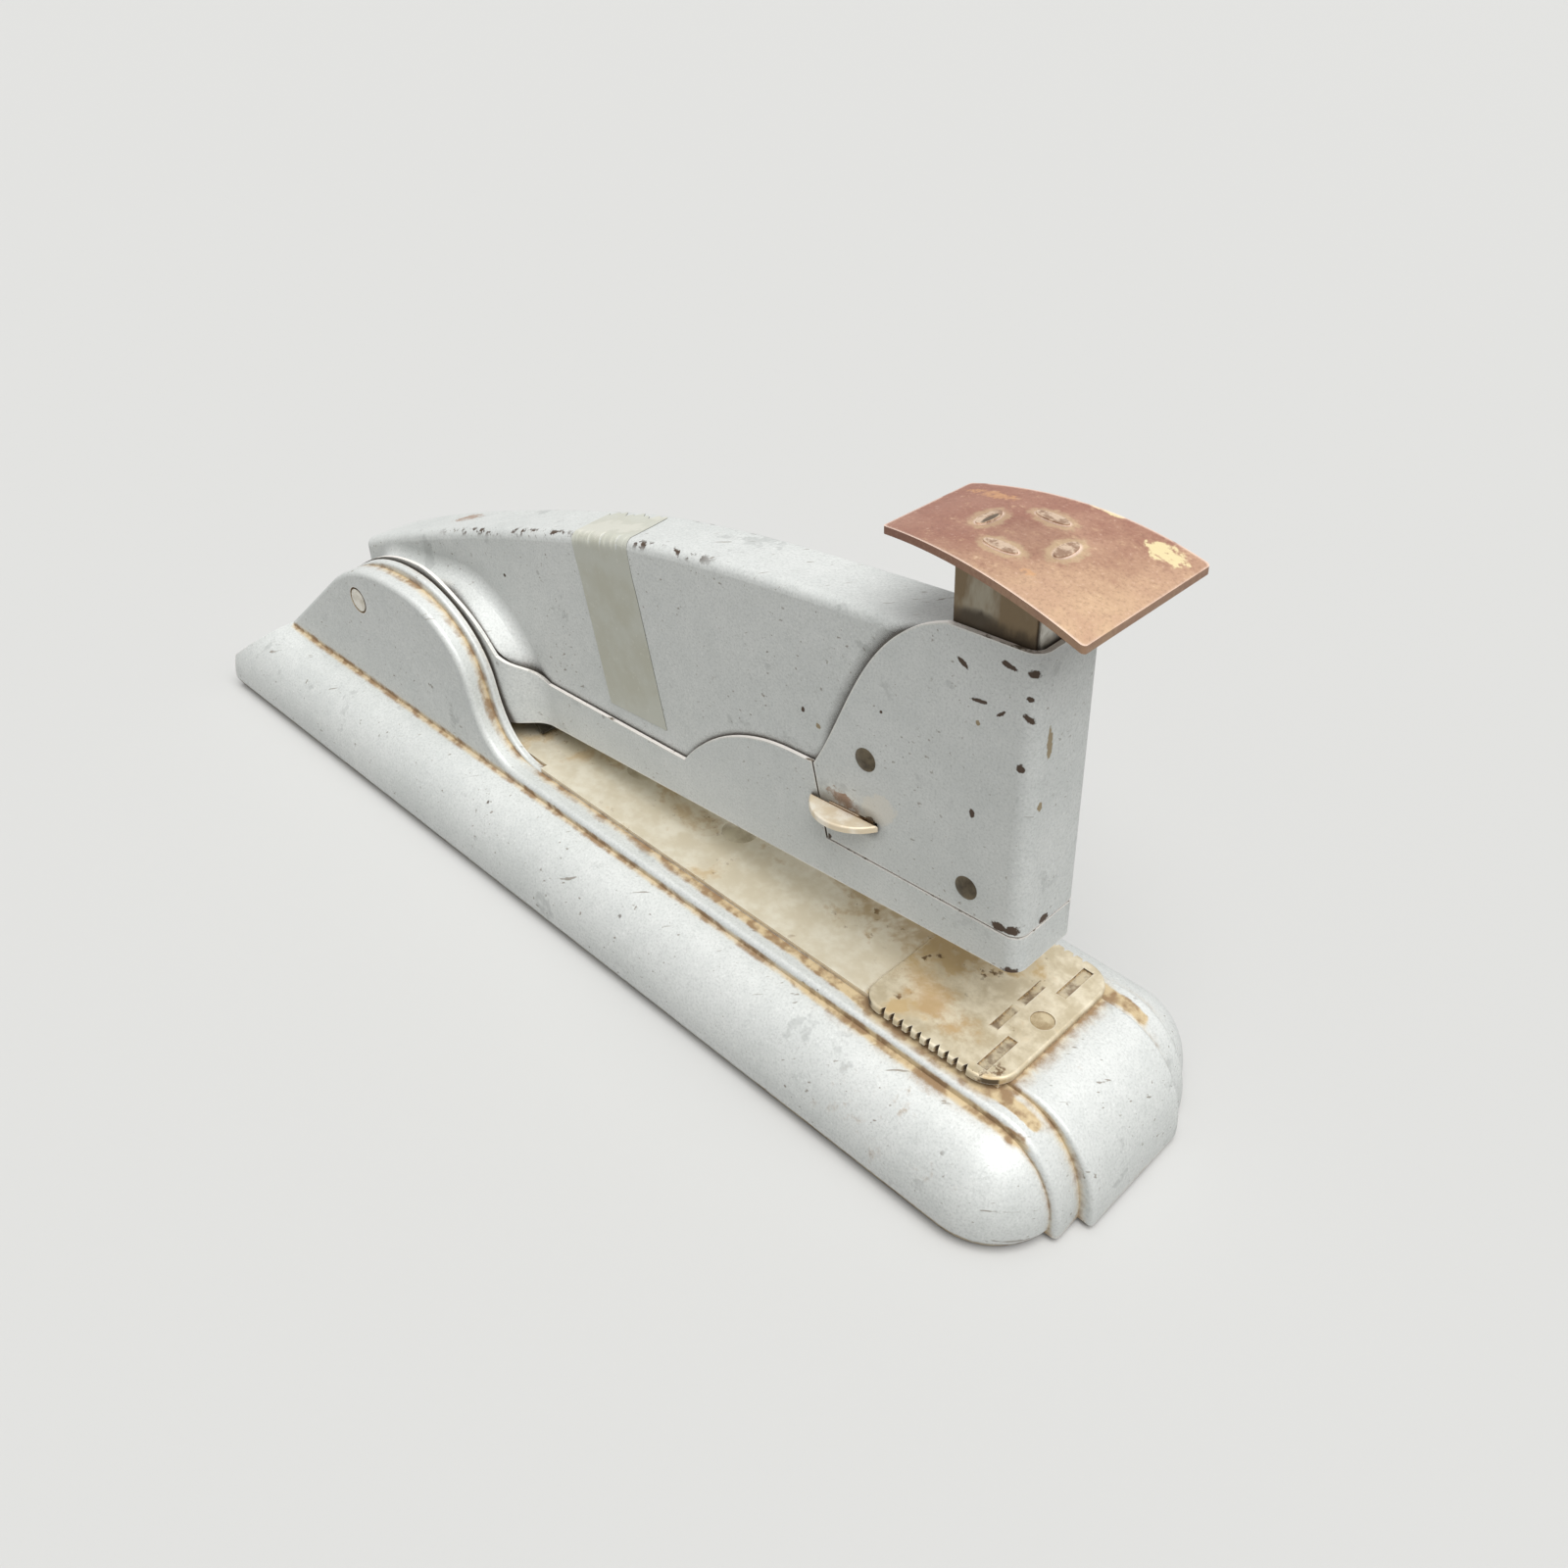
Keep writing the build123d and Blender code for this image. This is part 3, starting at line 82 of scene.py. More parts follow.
def paint(red: int, green: int, blue: int) -> Colour:
    """Turn display levels from 0 to 255 into a scene-linear colour.

    Args:
        red: Display level of red.
        green: Display level of green.
        blue: Display level of blue.

    Returns:
        The linear colour with full alpha.
    """
    linear = [
        level / 255 / 12.92 if level <= 10 else ((level / 255 + 0.055) / 1.055) ** 2.4
        for level in (red, green, blue)
    ]
    return (linear[0], linear[1], linear[2], 1.0)


@dataclass(frozen=True)
class Span:
    """A stretch of the object with soft ends, in millimetres."""

    low: float
    high: float
    soft: float


class Value:
    """A number socket of a shader graph; sums on it add Math nodes."""

    def __init__(self, graph: "Graph", socket: Socket) -> None:
        """Keep the socket and the graph it belongs to."""
        self.graph = graph
        self.socket = socket

    def _math(self, operation: str, first: Number, second: Number = 0.0) -> "Value":
        """Add one Math node and return its result."""
        node = self.graph.node("ShaderNodeMath", {"operation": operation}, {0: first, 1: second})
        return Value(self.graph, node.outputs[0])

    def __add__(self, other: Number) -> "Value":
        """Sum."""
        return self._math("ADD", self, other)

    def __radd__(self, other: float) -> "Value":
        """Sum with the number first."""
        return self._math("ADD", other, self)

    def __sub__(self, other: Number) -> "Value":
        """Difference."""
        return self._math("SUBTRACT", self, other)

    def __rsub__(self, other: float) -> "Value":
        """Difference with the number first."""
        return self._math("SUBTRACT", other, self)

    def __mul__(self, other: Number) -> "Value":
        """Product."""
        return self._math("MULTIPLY", self, other)

    def __rmul__(self, other: float) -> "Value":
        """Product with the number first."""
        return self._math("MULTIPLY", other, self)

    def __abs__(self) -> "Value":
        """Size without sign."""
        return self._math("ABSOLUTE", self)

    def lesser(self, other: Number) -> "Value":
        """The smaller of two values."""
        return self._math("MINIMUM", self, other)

    def greater(self, other: Number) -> "Value":
        """The larger of two values."""
        return self._math("MAXIMUM", self, other)

    def rise(self, low: float, high: float) -> "Value":
        """Smooth step from 0 at low to 1 at high; low may be the larger.

        Args:
            low: Value at which the step starts.
            high: Value at which the step ends.

        Returns:
            The step, from 0 to 1.
        """
        settings = {"interpolation_type": "SMOOTHSTEP"}
        inputs = {"Value": self, "From Min": low, "From Max": high, "To Min": 0.0, "To Max": 1.0}
        if low > high:
            inputs.update({"From Min": high, "From Max": low, "To Min": 1.0, "To Max": 0.0})
        node = self.graph.node("ShaderNodeMapRange", settings, inputs)
        return Value(self.graph, node.outputs[0])

    def within(self, span: Span) -> "Value":
        """1 on a stretch of the object and 0 off it, with soft ends."""
        entering = self.rise((span.low - span.soft) * MM, (span.low + span.soft) * MM)
        return entering * self.rise((span.high + span.soft) * MM, (span.high - span.soft) * MM)


@dataclass(frozen=True)
class ArmFrame:
    """The arm's own frame: the hinge, and the directions along and above the arm."""

    hinge: Vector
    forward: Vector
    upward: Vector

    @classmethod
    def from_joints(cls, joints: Sequence[Mapping[str, Any]]) -> "ArmFrame":
        """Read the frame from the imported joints.

        Args:
            joints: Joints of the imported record.

        Returns:
            The arm's frame at rest.
        """
        by_name = {joint["name"]: joint for joint in joints}
        hinge = Vector(by_name["arm_pivot"]["pos_m"])
        forward = Vector(by_name["follower_slide"]["axis"]).normalized()
        upward = Vector(by_name["plunger_slide"]["axis"]).normalized()
        return cls(hinge, forward, upward)

    @property
    def tilt(self) -> float:
        """Angle of the arm above the table."""
        return math.atan2(self.forward.z, self.forward.x)

    def point(self, along: float, across: float, above: float) -> Vector:
        """Place on the arm in the row frame."""
        return self.hinge + self.forward * along + ACROSS * across + self.upward * above


class Wear(Enum):
    """Kinds of small mark, by what shows through."""

    PRIMER = "primer"
    TAN = "tan"
    RUST = "rust"
    SMEAR = "smear"


@dataclass(frozen=True)
class Mark:
    """A ragged oval mark on the arm, in millimetres of the arm's frame, leaning by degrees."""

    place: Triple
    size: Triple
    lean: float = 0.0
    wear: Wear = Wear.PRIMER


class Graph:
    """The node graph of one material."""

    def __init__(self, name: str) -> None:
        """Start a material with a Principled shader.

        Args:
            name: Name of the material.
        """
        self.material = bpy.data.materials.new(name)
        self.material.use_nodes = True
        self.tree = self.material.node_tree
        self.shader = self.tree.nodes["Principled BSDF"]
        coordinates = self.node("ShaderNodeTexCoord")
        self.place = coordinates.outputs["Object"]
        self.normal = coordinates.outputs["Normal"]

    def node(
        self,
        kind: str,
        settings: Optional[Mapping[str, Any]] = None,
        inputs: Optional[Mapping[Union[str, int], Any]] = None,
    ) -> bpy.types.Node:
        """Add a node of any type.

        Args:
            kind: Blender's type name of the node.
            settings: Properties of the node, set first.
            inputs: Values or links of its sockets, by name or place.

        Returns:
            The new node.
        """
        made = self.tree.nodes.new(kind)
        for key, setting in (settings or {}).items():
            setattr(made, key, setting)
        for key, given in (inputs or {}).items():
            self.feed(made.inputs[key], given)
        return made

    def feed(self, socket: Socket, given: Any) -> None:
        """Link a socket, or set its value.

        Args:
            socket: Input socket.
            given: A Value, a socket, a number, a vector or a colour.
        """
        if isinstance(given, Value):
            self.tree.links.new(given.socket, socket)
        elif isinstance(given, Socket):
            self.tree.links.new(given, socket)
        else:
            socket.default_value = given

    def value(self, socket: Socket) -> Value:
        """Wrap a socket for sums."""
        return Value(self, socket)

    def _dot(self, socket: Socket, direction: Vector) -> Value:
        """Part of a vector socket along a unit direction."""
        settings = {"operation": "DOT_PRODUCT"}
        node = self.node("ShaderNodeVectorMath", settings, {0: socket, 1: direction})
        return self.value(node.outputs["Value"])

    def along(self, direction: Vector, origin: Vector = Vector()) -> Value:
        """Distance of the surface point from an origin along a direction.

        Args:
            direction: Unit direction in the row frame.
            origin: Point at which the distance is zero.

        Returns:
            The distance in metres.
        """
        return self._dot(self.place, direction) - direction.dot(origin)

    def facing(self, direction: Vector) -> Value:
        """How far the surface faces a direction, from -1 to 1."""
        return self._dot(self.normal, direction)

    def stretched(self, turn: Vector, stretch: Vector) -> Socket:
        """Object coordinates turned and then stretched.

        Args:
            turn: Turn about each axis in radians.
            stretch: Factor along each axis after the turn.

        Returns:
            The new coordinates.
        """
        turned = self.node("ShaderNodeMapping", {}, {"Vector": self.place, "Rotation": turn})
        inputs = {"Vector": turned.outputs[0], "Scale": stretch}
        return self.node("ShaderNodeMapping", {}, inputs).outputs[0]

    def noise(
        self,
        size: float,
        detail: float = 3.0,
        rough: float = 0.55,
        warp: float = 0.0,
        at: Optional[Socket] = None,
    ) -> Value:
        """Fractal noise from 0 to 1.

        Args:
            size: Size of its largest patches in metres.
            detail: Number of finer layers.
            rough: Strength of the finer layers.
            warp: How much the patches are bent.
            at: Coordinates to use in place of Object coordinates.

        Returns:
            The noise value.
        """
        inputs = {
            "Vector": self.place if at is None else at,
            "Scale": 1 / size,
            "Detail": detail,
            "Roughness": rough,
            "Distortion": warp,
        }
        return self.value(self.node("ShaderNodeTexNoise", {}, inputs).outputs[0])

    def cells(self, size: float) -> Value:
        """Distance to the nearest of scattered points, in cell sizes."""
        inputs = {"Vector": self.place, "Scale": 1 / size}
        return self.value(self.node("ShaderNodeTexVoronoi", {}, inputs).outputs["Distance"])

    def _shut_in(self, reach: float, settings: Mapping[str, Any]) -> Value:
        """Share of the rays from the surface that meet a face within a reach."""
        settings = {"samples": CORNER_RAYS, **settings}
        node = self.node("ShaderNodeAmbientOcclusion", settings, {"Distance": reach})
        return 1 - self.value(node.outputs["AO"])

    def crevice(self, reach: float) -> Value:
        """Large in a corner between surfaces, 0 in the open."""
        return self._shut_in(reach, {})

    def edge(self, reach: float) -> Value:
        """Large on an outer edge of the piece itself, 0 on its flat faces."""
        return self._shut_in(reach, {"inside": True, "only_local": True})

    def oval(self, place: Vector, turn: Vector, halves: Vector) -> Value:
        """Distance from the middle of an oval, which is 1 at its edge.

        Args:
            place: Middle of the oval in the row frame.
            turn: Turn about each axis in radians.
            halves: Half sizes along its own axes.

        Returns:
            The distance in half sizes.
        """
        inputs = {"Vector": self.place, "Location": place, "Rotation": turn, "Scale": halves}
        local = self.node("ShaderNodeMapping", {"vector_type": "TEXTURE"}, inputs).outputs[0]
        node = self.node("ShaderNodeVectorMath", {"operation": "LENGTH"}, {0: local})
        return self.value(node.outputs["Value"])

    def blot(self, arm: ArmFrame, mark: Mark, ragged: Value) -> Value:
        """Cover one mark on the arm with 1, ragged at its edge.

        Args:
            arm: The arm's frame.
            mark: Place and size of the mark.
            ragged: Small value added to the distance from its middle.

        Returns:
            1 inside the mark and 0 outside.
        """
        place = arm.point(*(MM * part for part in mark.place))
        turn = Vector((0, -arm.tilt - math.radians(mark.lean), 0))
        away = self.oval(place, turn, Vector(mark.size) * MM / 2)
        return (away + ragged).rise(1.0, 0.7)

    def blots(self, arm: ArmFrame, marks: Sequence[Mark], wear: Wear, ragged: Value) -> Value:
        """Cover every mark of one kind.

        Args:
            arm: The arm's frame.
            marks: Marks of all kinds.
            wear: The kind to cover.
            ragged: Small value that breaks up their edges.

        Returns:
            1 inside any of them and 0 outside.
        """
        total = ragged * 0
        for mark in marks:
            if mark.wear is wear:
                total = total.greater(self.blot(arm, mark, ragged))
        return total

    def mix(self, factor: Number, first: Any, second: Any) -> Socket:
        """Blend two colours.

        Args:
            factor: Share of the second colour.
            first: Colour or socket.
            second: Colour or socket.

        Returns:
            The blended colour.
        """
        inputs = {0: factor, 6: first, 7: second}
        return self.node("ShaderNodeMix", {"data_type": "RGBA"}, inputs).outputs[2]

    def bump(self, height: Value, depth: float) -> Socket:
        """Normal bent by a height from 0 to 1, whose 1 is a depth in metres."""
        return self.node("ShaderNodeBump", {}, {"Height": height, "Distance": depth}).outputs[0]

    def surface(self, **sockets: Any) -> bpy.types.Material:
        """Feed the Principled shader and return the material.

        Args:
            **sockets: Socket names with underscores for spaces, and what feeds them.

        Returns:
            The finished material.
        """
        for name, given in sockets.items():
            label = name.replace("_", " ").title().replace("Ior", "IOR")
            self.feed(self.shader.inputs[label], given)
        return self.material


class Finish(ABC):
    """How one kind of surface looks."""

    @abstractmethod
    def material(self) -> bpy.types.Material:
        """Make the material.

        Returns:
            The finished material.
        """


@dataclass(frozen=True)
class SilverPaint(Finish):
    """Aluminium paint with fine flake, scuffed, chipped and dirty in its corners, with a painted
    highlight on its rubbed edges and painted shade along its joints.
    """

    name: str
    arm: ArmFrame
    marks: tuple[Mark, ...] = ()
    body: Colour = paint(205, 208, 205)
    light: Colour = paint(219, 221, 218)
    dull_fleck: Colour = paint(158, 161, 158)
    bright_fleck: Colour = paint(244, 245, 243)
    scuff: Colour = paint(120, 108, 92)
    primer: Colour = paint(74, 58, 45)
    chip_tan: Colour = paint(154, 138, 108)
    smear: Colour = paint(226, 221, 208)
    worn_and_highlit: Colour = paint(238, 235, 227)
    bare: Colour = paint(249, 244, 238)
    tan: Colour = paint(206, 184, 142)
    brown: Colour = paint(146, 114, 72)
    rust: Colour = paint(150, 112, 82)
    seam_shade_tone: Colour = paint(58, 52, 46)
    grime: float = 1.0
    crust: float = 0.0
    scuffs: float = 1.0
    nicks: float = 1.0
    worn_and_highlit_reach: float = 0.5 * MM
    sheet: float = 0.0
    seam_shade_share: float = 0.0
    worn_crest: float = 0.0
    flake_size: float = 0.42 * MM
    mottle_size: float = 3 * MM
    patch_size: float = 6 * MM
    cloud_size: float = 30 * MM
    corner_reach: float = 3 * MM
    seam_shade_reach: float = 2.5 * MM
    relief: float = 0.06 * MM
    crest_across: Span = Span(5.3, 6.5, 0.5)
    crest_rear: Span = Span(18, 58, 4)
    crest_front: Span = Span(73, 93, 4)
    head_starts: tuple[float, float] = (116 * MM, 120 * MM)
    anvil_stretch: Span = Span(58, 104, 9)
    crust_grows: tuple[float, float] = (5 * MM, 40 * MM)
    ledge_across: Span = Span(13.8, 16.0, 0.7)
    ledge_starts: tuple[float, float] = (16.5 * MM, 17.5 * MM)
    crease_across: Span = Span(17.7, 19.2, 0.5)
    crease_starts: tuple[float, float] = (15.2 * MM, 15.8 * MM)
    crease_ends: tuple[float, float] = (18.0 * MM, 17.0 * MM)

    def material(self) -> bpy.types.Material:
        """Make the material.

        Returns:
            The finished material.
        """
        graph = Graph(self.name)
        mottle = graph.noise(self.mottle_size, 4, 0.6)
        flake = graph.noise(self.flake_size, 2, 0.7)
        ragged = (graph.noise(0.9 * MM, 3, 0.6) - 0.5) * 1.6
        colour = self.painted(graph, mottle, flake)
        # Pale outer edges: rubbed paint with a painted highlight along them.
        edge = graph.edge(self.worn_and_highlit_reach).rise(0.16, 0.42)
        patchy = graph.noise(self.patch_size, 3)
        colour = graph.mix(edge * patchy.rise(0.3, 0.5) * 0.75, colour, self.worn_and_highlit)
        chipped = self.chipped(graph, edge, mottle, ragged)
        smeared = graph.blots(self.arm, self.marks, Wear.SMEAR, ragged * 0.5)
        colour = graph.mix(smeared * 0.6, colour, self.smear)
        thinned = graph.blots(self.arm, self.marks, Wear.TAN, ragged)
        colour = graph.mix(thinned, colour, self.chip_tan)
        rusty = graph.blots(self.arm, self.marks, Wear.RUST, ragged * 1.6)
        colour = graph.mix(rusty * mottle.rise(0.35, 0.6) * 0.8, colour, self.rust)
        colour = graph.mix(chipped, colour, self.primer)
        dirt = self.dirt(graph, patchy)
        soil = graph.mix((mottle * 0.6 + patchy * 0.4).rise(0.42, 0.58), self.tan, self.brown)
        colour = graph.mix(dirt * 0.92, colour, soil)
        bare = self.sheet_edge(graph)
        worn_edge = graph.mix(mottle.rise(0.58, 0.68), self.bare, self.scuff)
        colour = graph.mix(bare, colour, worn_edge)
        # Painted shade along the joints beside raised sheets.
        if self.seam_shade_share:
            seam_shade = self.seam_shade(graph) * (1 - bare) * self.seam_shade_share
            colour = graph.mix(seam_shade, colour, self.seam_shade_tone)
        height = flake * 0.2 + dirt * graph.noise(0.5 * MM, 3) * 1.4 - chipped - bare * 0.4
        return graph.surface(
            base_color=colour,
            metallic=0.18 * (1 - chipped) * (1 - dirt) + bare * 0.3,
            roughness=(0.46 + mottle * 0.1 + dirt * 0.35 + chipped * 0.2).lesser(1.0),
            normal=graph.bump(height, self.relief),
        )

    def painted(self, graph: Graph, mottle: Value, flake: Value) -> Socket:
        """Colour the paint itself, with flecks and scuffs.

        Args:
            graph: Graph of the material.
            mottle: Noise of a few millimetres.
            flake: Noise as fine as the flake.

        Returns:
            The colour.
        """
        cloud = graph.noise(self.cloud_size, 4)
        colour = graph.mix((cloud * 0.6 + mottle * 0.4).rise(0.3, 0.7), self.body, self.light)
        colour = graph.mix(flake.rise(0.54, 0.32) * 0.28, colour, self.dull_fleck)
        colour = graph.mix(flake.rise(0.6, 0.76) * 0.5, colour, self.bright_fleck)
        drawn = graph.stretched(Vector((0.2, 0.1, 0.7)), Vector((1, 0.06, 1)))
        crossed = graph.stretched(Vector((0.1, 0.4, -0.5)), Vector((0.06, 1, 1)))
        scratched = graph.noise(0.8 * MM, 2, at=drawn).rise(0.69, 0.73)
        scratched = scratched.greater(graph.noise(0.9 * MM, 2, at=crossed).rise(0.7, 0.74))
        scratched = scratched * graph.noise(12 * MM, 2).rise(0.38, 0.52)
        colour = graph.mix(scratched * 0.7 * self.scuffs, colour, self.scuff)
        thin = (graph.noise(9 * MM, 4, 0.65) + (mottle - 0.5) * 0.3).rise(0.62, 0.7)
        return graph.mix(thin * 0.4 * self.scuffs, colour, self.dull_fleck)

    def chipped(self, graph: Graph, edge: Value, mottle: Value, ragged: Value) -> Value:
        """Find where the paint is gone down to the primer.

        Args:
            graph: Graph of the material.
            edge: Cover of the outer edges.
            mottle: Noise of a few millimetres.
            ragged: Small value that breaks up the edges of the marks.

        Returns:
            1 on bare primer and 0 on paint.
        """
        region = graph.noise(17 * MM, 2)
        nicks = (graph.cells(7 * MM) + (mottle - 0.5) * 0.16).rise(0.08, 0.05)
        chips = nicks * region.rise(0.54, 0.6) * self.nicks
        small = graph.noise(1.7 * MM, 3, 0.6)
        chips = chips.greater(edge * small.rise(0.6, 0.64) * region.rise(0.5, 0.58) * self.nicks)
        chips = chips.greater(graph.blots(self.arm, self.marks, Wear.PRIMER, ragged))
        if self.worn_crest:
            upper = graph.facing(self.arm.upward).rise(0.1, 0.5)
            shoulder = abs(graph.along(ACROSS)).within(self.crest_across) * upper
            stretch = graph.along(self.arm.forward, self.arm.hinge)
            worn = stretch.within(self.crest_rear) + stretch.within(self.crest_front)
            chips = chips.greater(shoulder * worn * small.rise(0.54, 0.6) * self.worn_crest)
        return chips

    def seam_shade(self, graph: Graph) -> Value:
        """Painted shade along the joint beside a raised sheet, wider where the head overlaps the
        cover.
        """
        ahead = graph.along(self.arm.forward, self.arm.hinge).rise(*self.head_starts)
        return (graph.crevice(self.seam_shade_reach) + ahead * 0.1).rise(0.17, 0.27)

    def sheet_edge(self, graph: Graph) -> Value:
        """Find the cut edges of the folded sheet, where the paint is rubbed to metal.

        Args:
            graph: Graph of the material.

        Returns:
            The strength of the rubbing on the cut edges, and 0 elsewhere.
        """
        sideways = abs(graph.facing(ACROSS)).rise(0.6, 0.3)
        forward = graph.facing(self.arm.forward).rise(0.6, 0.3)
        upper = graph.facing(self.arm.upward).rise(-0.5, -0.2)
        return sideways * forward * upper * self.sheet

    def dirt(self, graph: Graph, patchy: Value) -> Value:
        """Gather dust and old glue in the corners.

        Args:
            graph: Graph of the material.
            patchy: Noise that makes some corners cleaner.

        Returns:
            1 under thick dirt and 0 on clean paint.
        """
        fine = graph.noise(1.5 * MM, 4, 0.7)
        corner = graph.crevice(self.corner_reach) + (fine - 0.5) * 0.35 + (patchy - 0.5) * 0.5
        if self.crust:
            corner = corner + self.crust * self.crusted(graph)
        return corner.rise(0.24, 0.46) * self.grime

    def crusted(self, graph: Graph) -> Value:
        """Thicken the dirt beside the deck, in the crease of the roll and round the anvil.

        Args:
            graph: Graph of the material.

        Returns:
            The added dirt.
        """
        lengthways = graph.along(LENGTHWAYS)
        beside = abs(graph.along(ACROSS))
        height = graph.along(UPRIGHT)
        near_anvil = lengthways.within(self.anvil_stretch)
        level = abs(graph.facing(ACROSS)).rise(0.65, 0.4) * height.rise(*self.ledge_starts)
        ledge = beside.within(self.ledge_across) * level
        ledge = ledge * (0.24 + lengthways.rise(*self.crust_grows) * 0.26)
        crease = beside.within(self.crease_across)
        crease = crease * height.rise(*self.crease_starts) * height.rise(*self.crease_ends)
        return near_anvil * 0.24 + ledge + crease * 0.26 - 0.06


@dataclass(frozen=True)
class StainedNickel(Finish):
    """Dull nickel plate with tan stains, a little rust, dirt in its corners and stamped recesses,
    and darker walls between its finger teeth.
    """

    name: str
    plate: Colour = paint(222, 212, 188)
    bright: Colour = paint(236, 230, 212)
    stain: Colour = paint(190, 162, 112)
    deep: Colour = paint(134, 104, 66)
    rust: Colour = paint(186, 146, 88)
    worn_and_highlit: Colour = paint(238, 233, 220)
    stained: float = 1.0
    rusted: float = 1.0
    metal: float = 0.35
    rust_place: Triple = (75.0, -9.0, 21.0)
    rust_halves: Triple = (9.0, 3.6, 9.0)
    rust_turn: float = -12.0
    sunk_below: float = 0.0
    sunk_depth: tuple[float, float] = (0.1 * MM, 0.3 * MM)
    tooth_tip: float = 0.0
    tooth_gap: Colour = paint(58, 44, 30)
    tooth_flank: tuple[float, float] = (0.15 * MM, 0.5 * MM)
    tooth_root: tuple[float, float] = (2.2 * MM, 1.8 * MM)
    corner_reach: float = 1.4 * MM
    worn_and_highlit_reach: float = 0.4 * MM
    relief: float = 0.05 * MM

    def material(self) -> bpy.types.Material:
        """Make the material.

        Returns:
            The finished material.
        """
        graph = Graph(self.name)
        cloud = graph.noise(15 * MM, 5, 0.6, 0.4)
        mottle = graph.noise(3.5 * MM, 4, 0.6)
        grain = graph.noise(0.5 * MM, 2)
        colour = graph.mix(mottle.rise(0.35, 0.7), self.plate, self.bright)
        patches = (cloud + (mottle - 0.5) * 0.5).rise(0.5, 0.64) * self.stained
        colour = graph.mix(patches * 0.7, colour, self.stain)
        flecks = graph.noise(2.4 * MM, 4, 0.65).rise(0.6, 0.68)
        flecks = flecks * cloud.rise(0.45, 0.55) * self.stained
        colour = graph.mix(flecks * 0.8, colour, self.deep)
        turn = Vector((0, 0, math.radians(self.rust_turn)))
        away = graph.oval(Vector(self.rust_place) * MM, turn, Vector(self.rust_halves) * MM)
        rusty = (away + (mottle - 0.5) * 3.2).rise(1.2, 0.2) * self.rusted
        colour = graph.mix(rusty * 0.6, colour, self.rust)
        corner = (graph.crevice(self.corner_reach) + (mottle - 0.5) * 0.3).rise(0.14, 0.4)
        soil = graph.mix(grain.rise(0.4, 0.6), self.deep, self.stain)
        colour = graph.mix(corner * 0.88, colour, soil)
        if self.sunk_below:
            colour = self.clogged(graph, colour, mottle)
        # Pale outer edges: rubbed nickel with a painted highlight along them.
        edge = graph.edge(self.worn_and_highlit_reach).rise(0.3, 0.6)
        colour = graph.mix(edge * 0.7, colour, self.worn_and_highlit)
        dull = (patches * 0.6 + rusty * 0.7 + flecks + corner).lesser(1.0)
        return graph.surface(
            base_color=colour,
            metallic=self.metal * (1 - dull * 0.8),
            roughness=(0.38 + mottle * 0.16 + dull * 0.3).lesser(1.0),
            normal=graph.bump(grain * 0.3 + flecks * 0.6 + corner * mottle, self.relief),
        )

    def clogged(self, graph: Graph, colour: Socket, mottle: Value) -> Socket:
        """Fill the stamped recesses with dirt, and darken the walls between the finger teeth.

        Args:
            graph: Graph of the material.
            colour: Colour of the plate so far.
            mottle: Noise of a few millimetres.

        Returns:
            The colour with the dirt.
        """
        depth = self.sunk_below - graph.along(UPRIGHT)
        sunk = depth.rise(*self.sunk_depth) * graph.facing(UPRIGHT).rise(0.8, 0.95)
        colour = graph.mix(sunk * mottle.rise(0.42, 0.6) * 0.75, colour, self.deep)
        # Darker on the walls between the finger teeth.
        inward = self.tooth_tip - abs(graph.along(ACROSS))
        wall = abs(graph.facing(UPRIGHT)).rise(0.6, 0.3)
        gaps = inward.rise(*self.tooth_flank) * inward.rise(*self.tooth_root) * wall
        return graph.mix(gaps * 0.9, colour, self.tooth_gap)


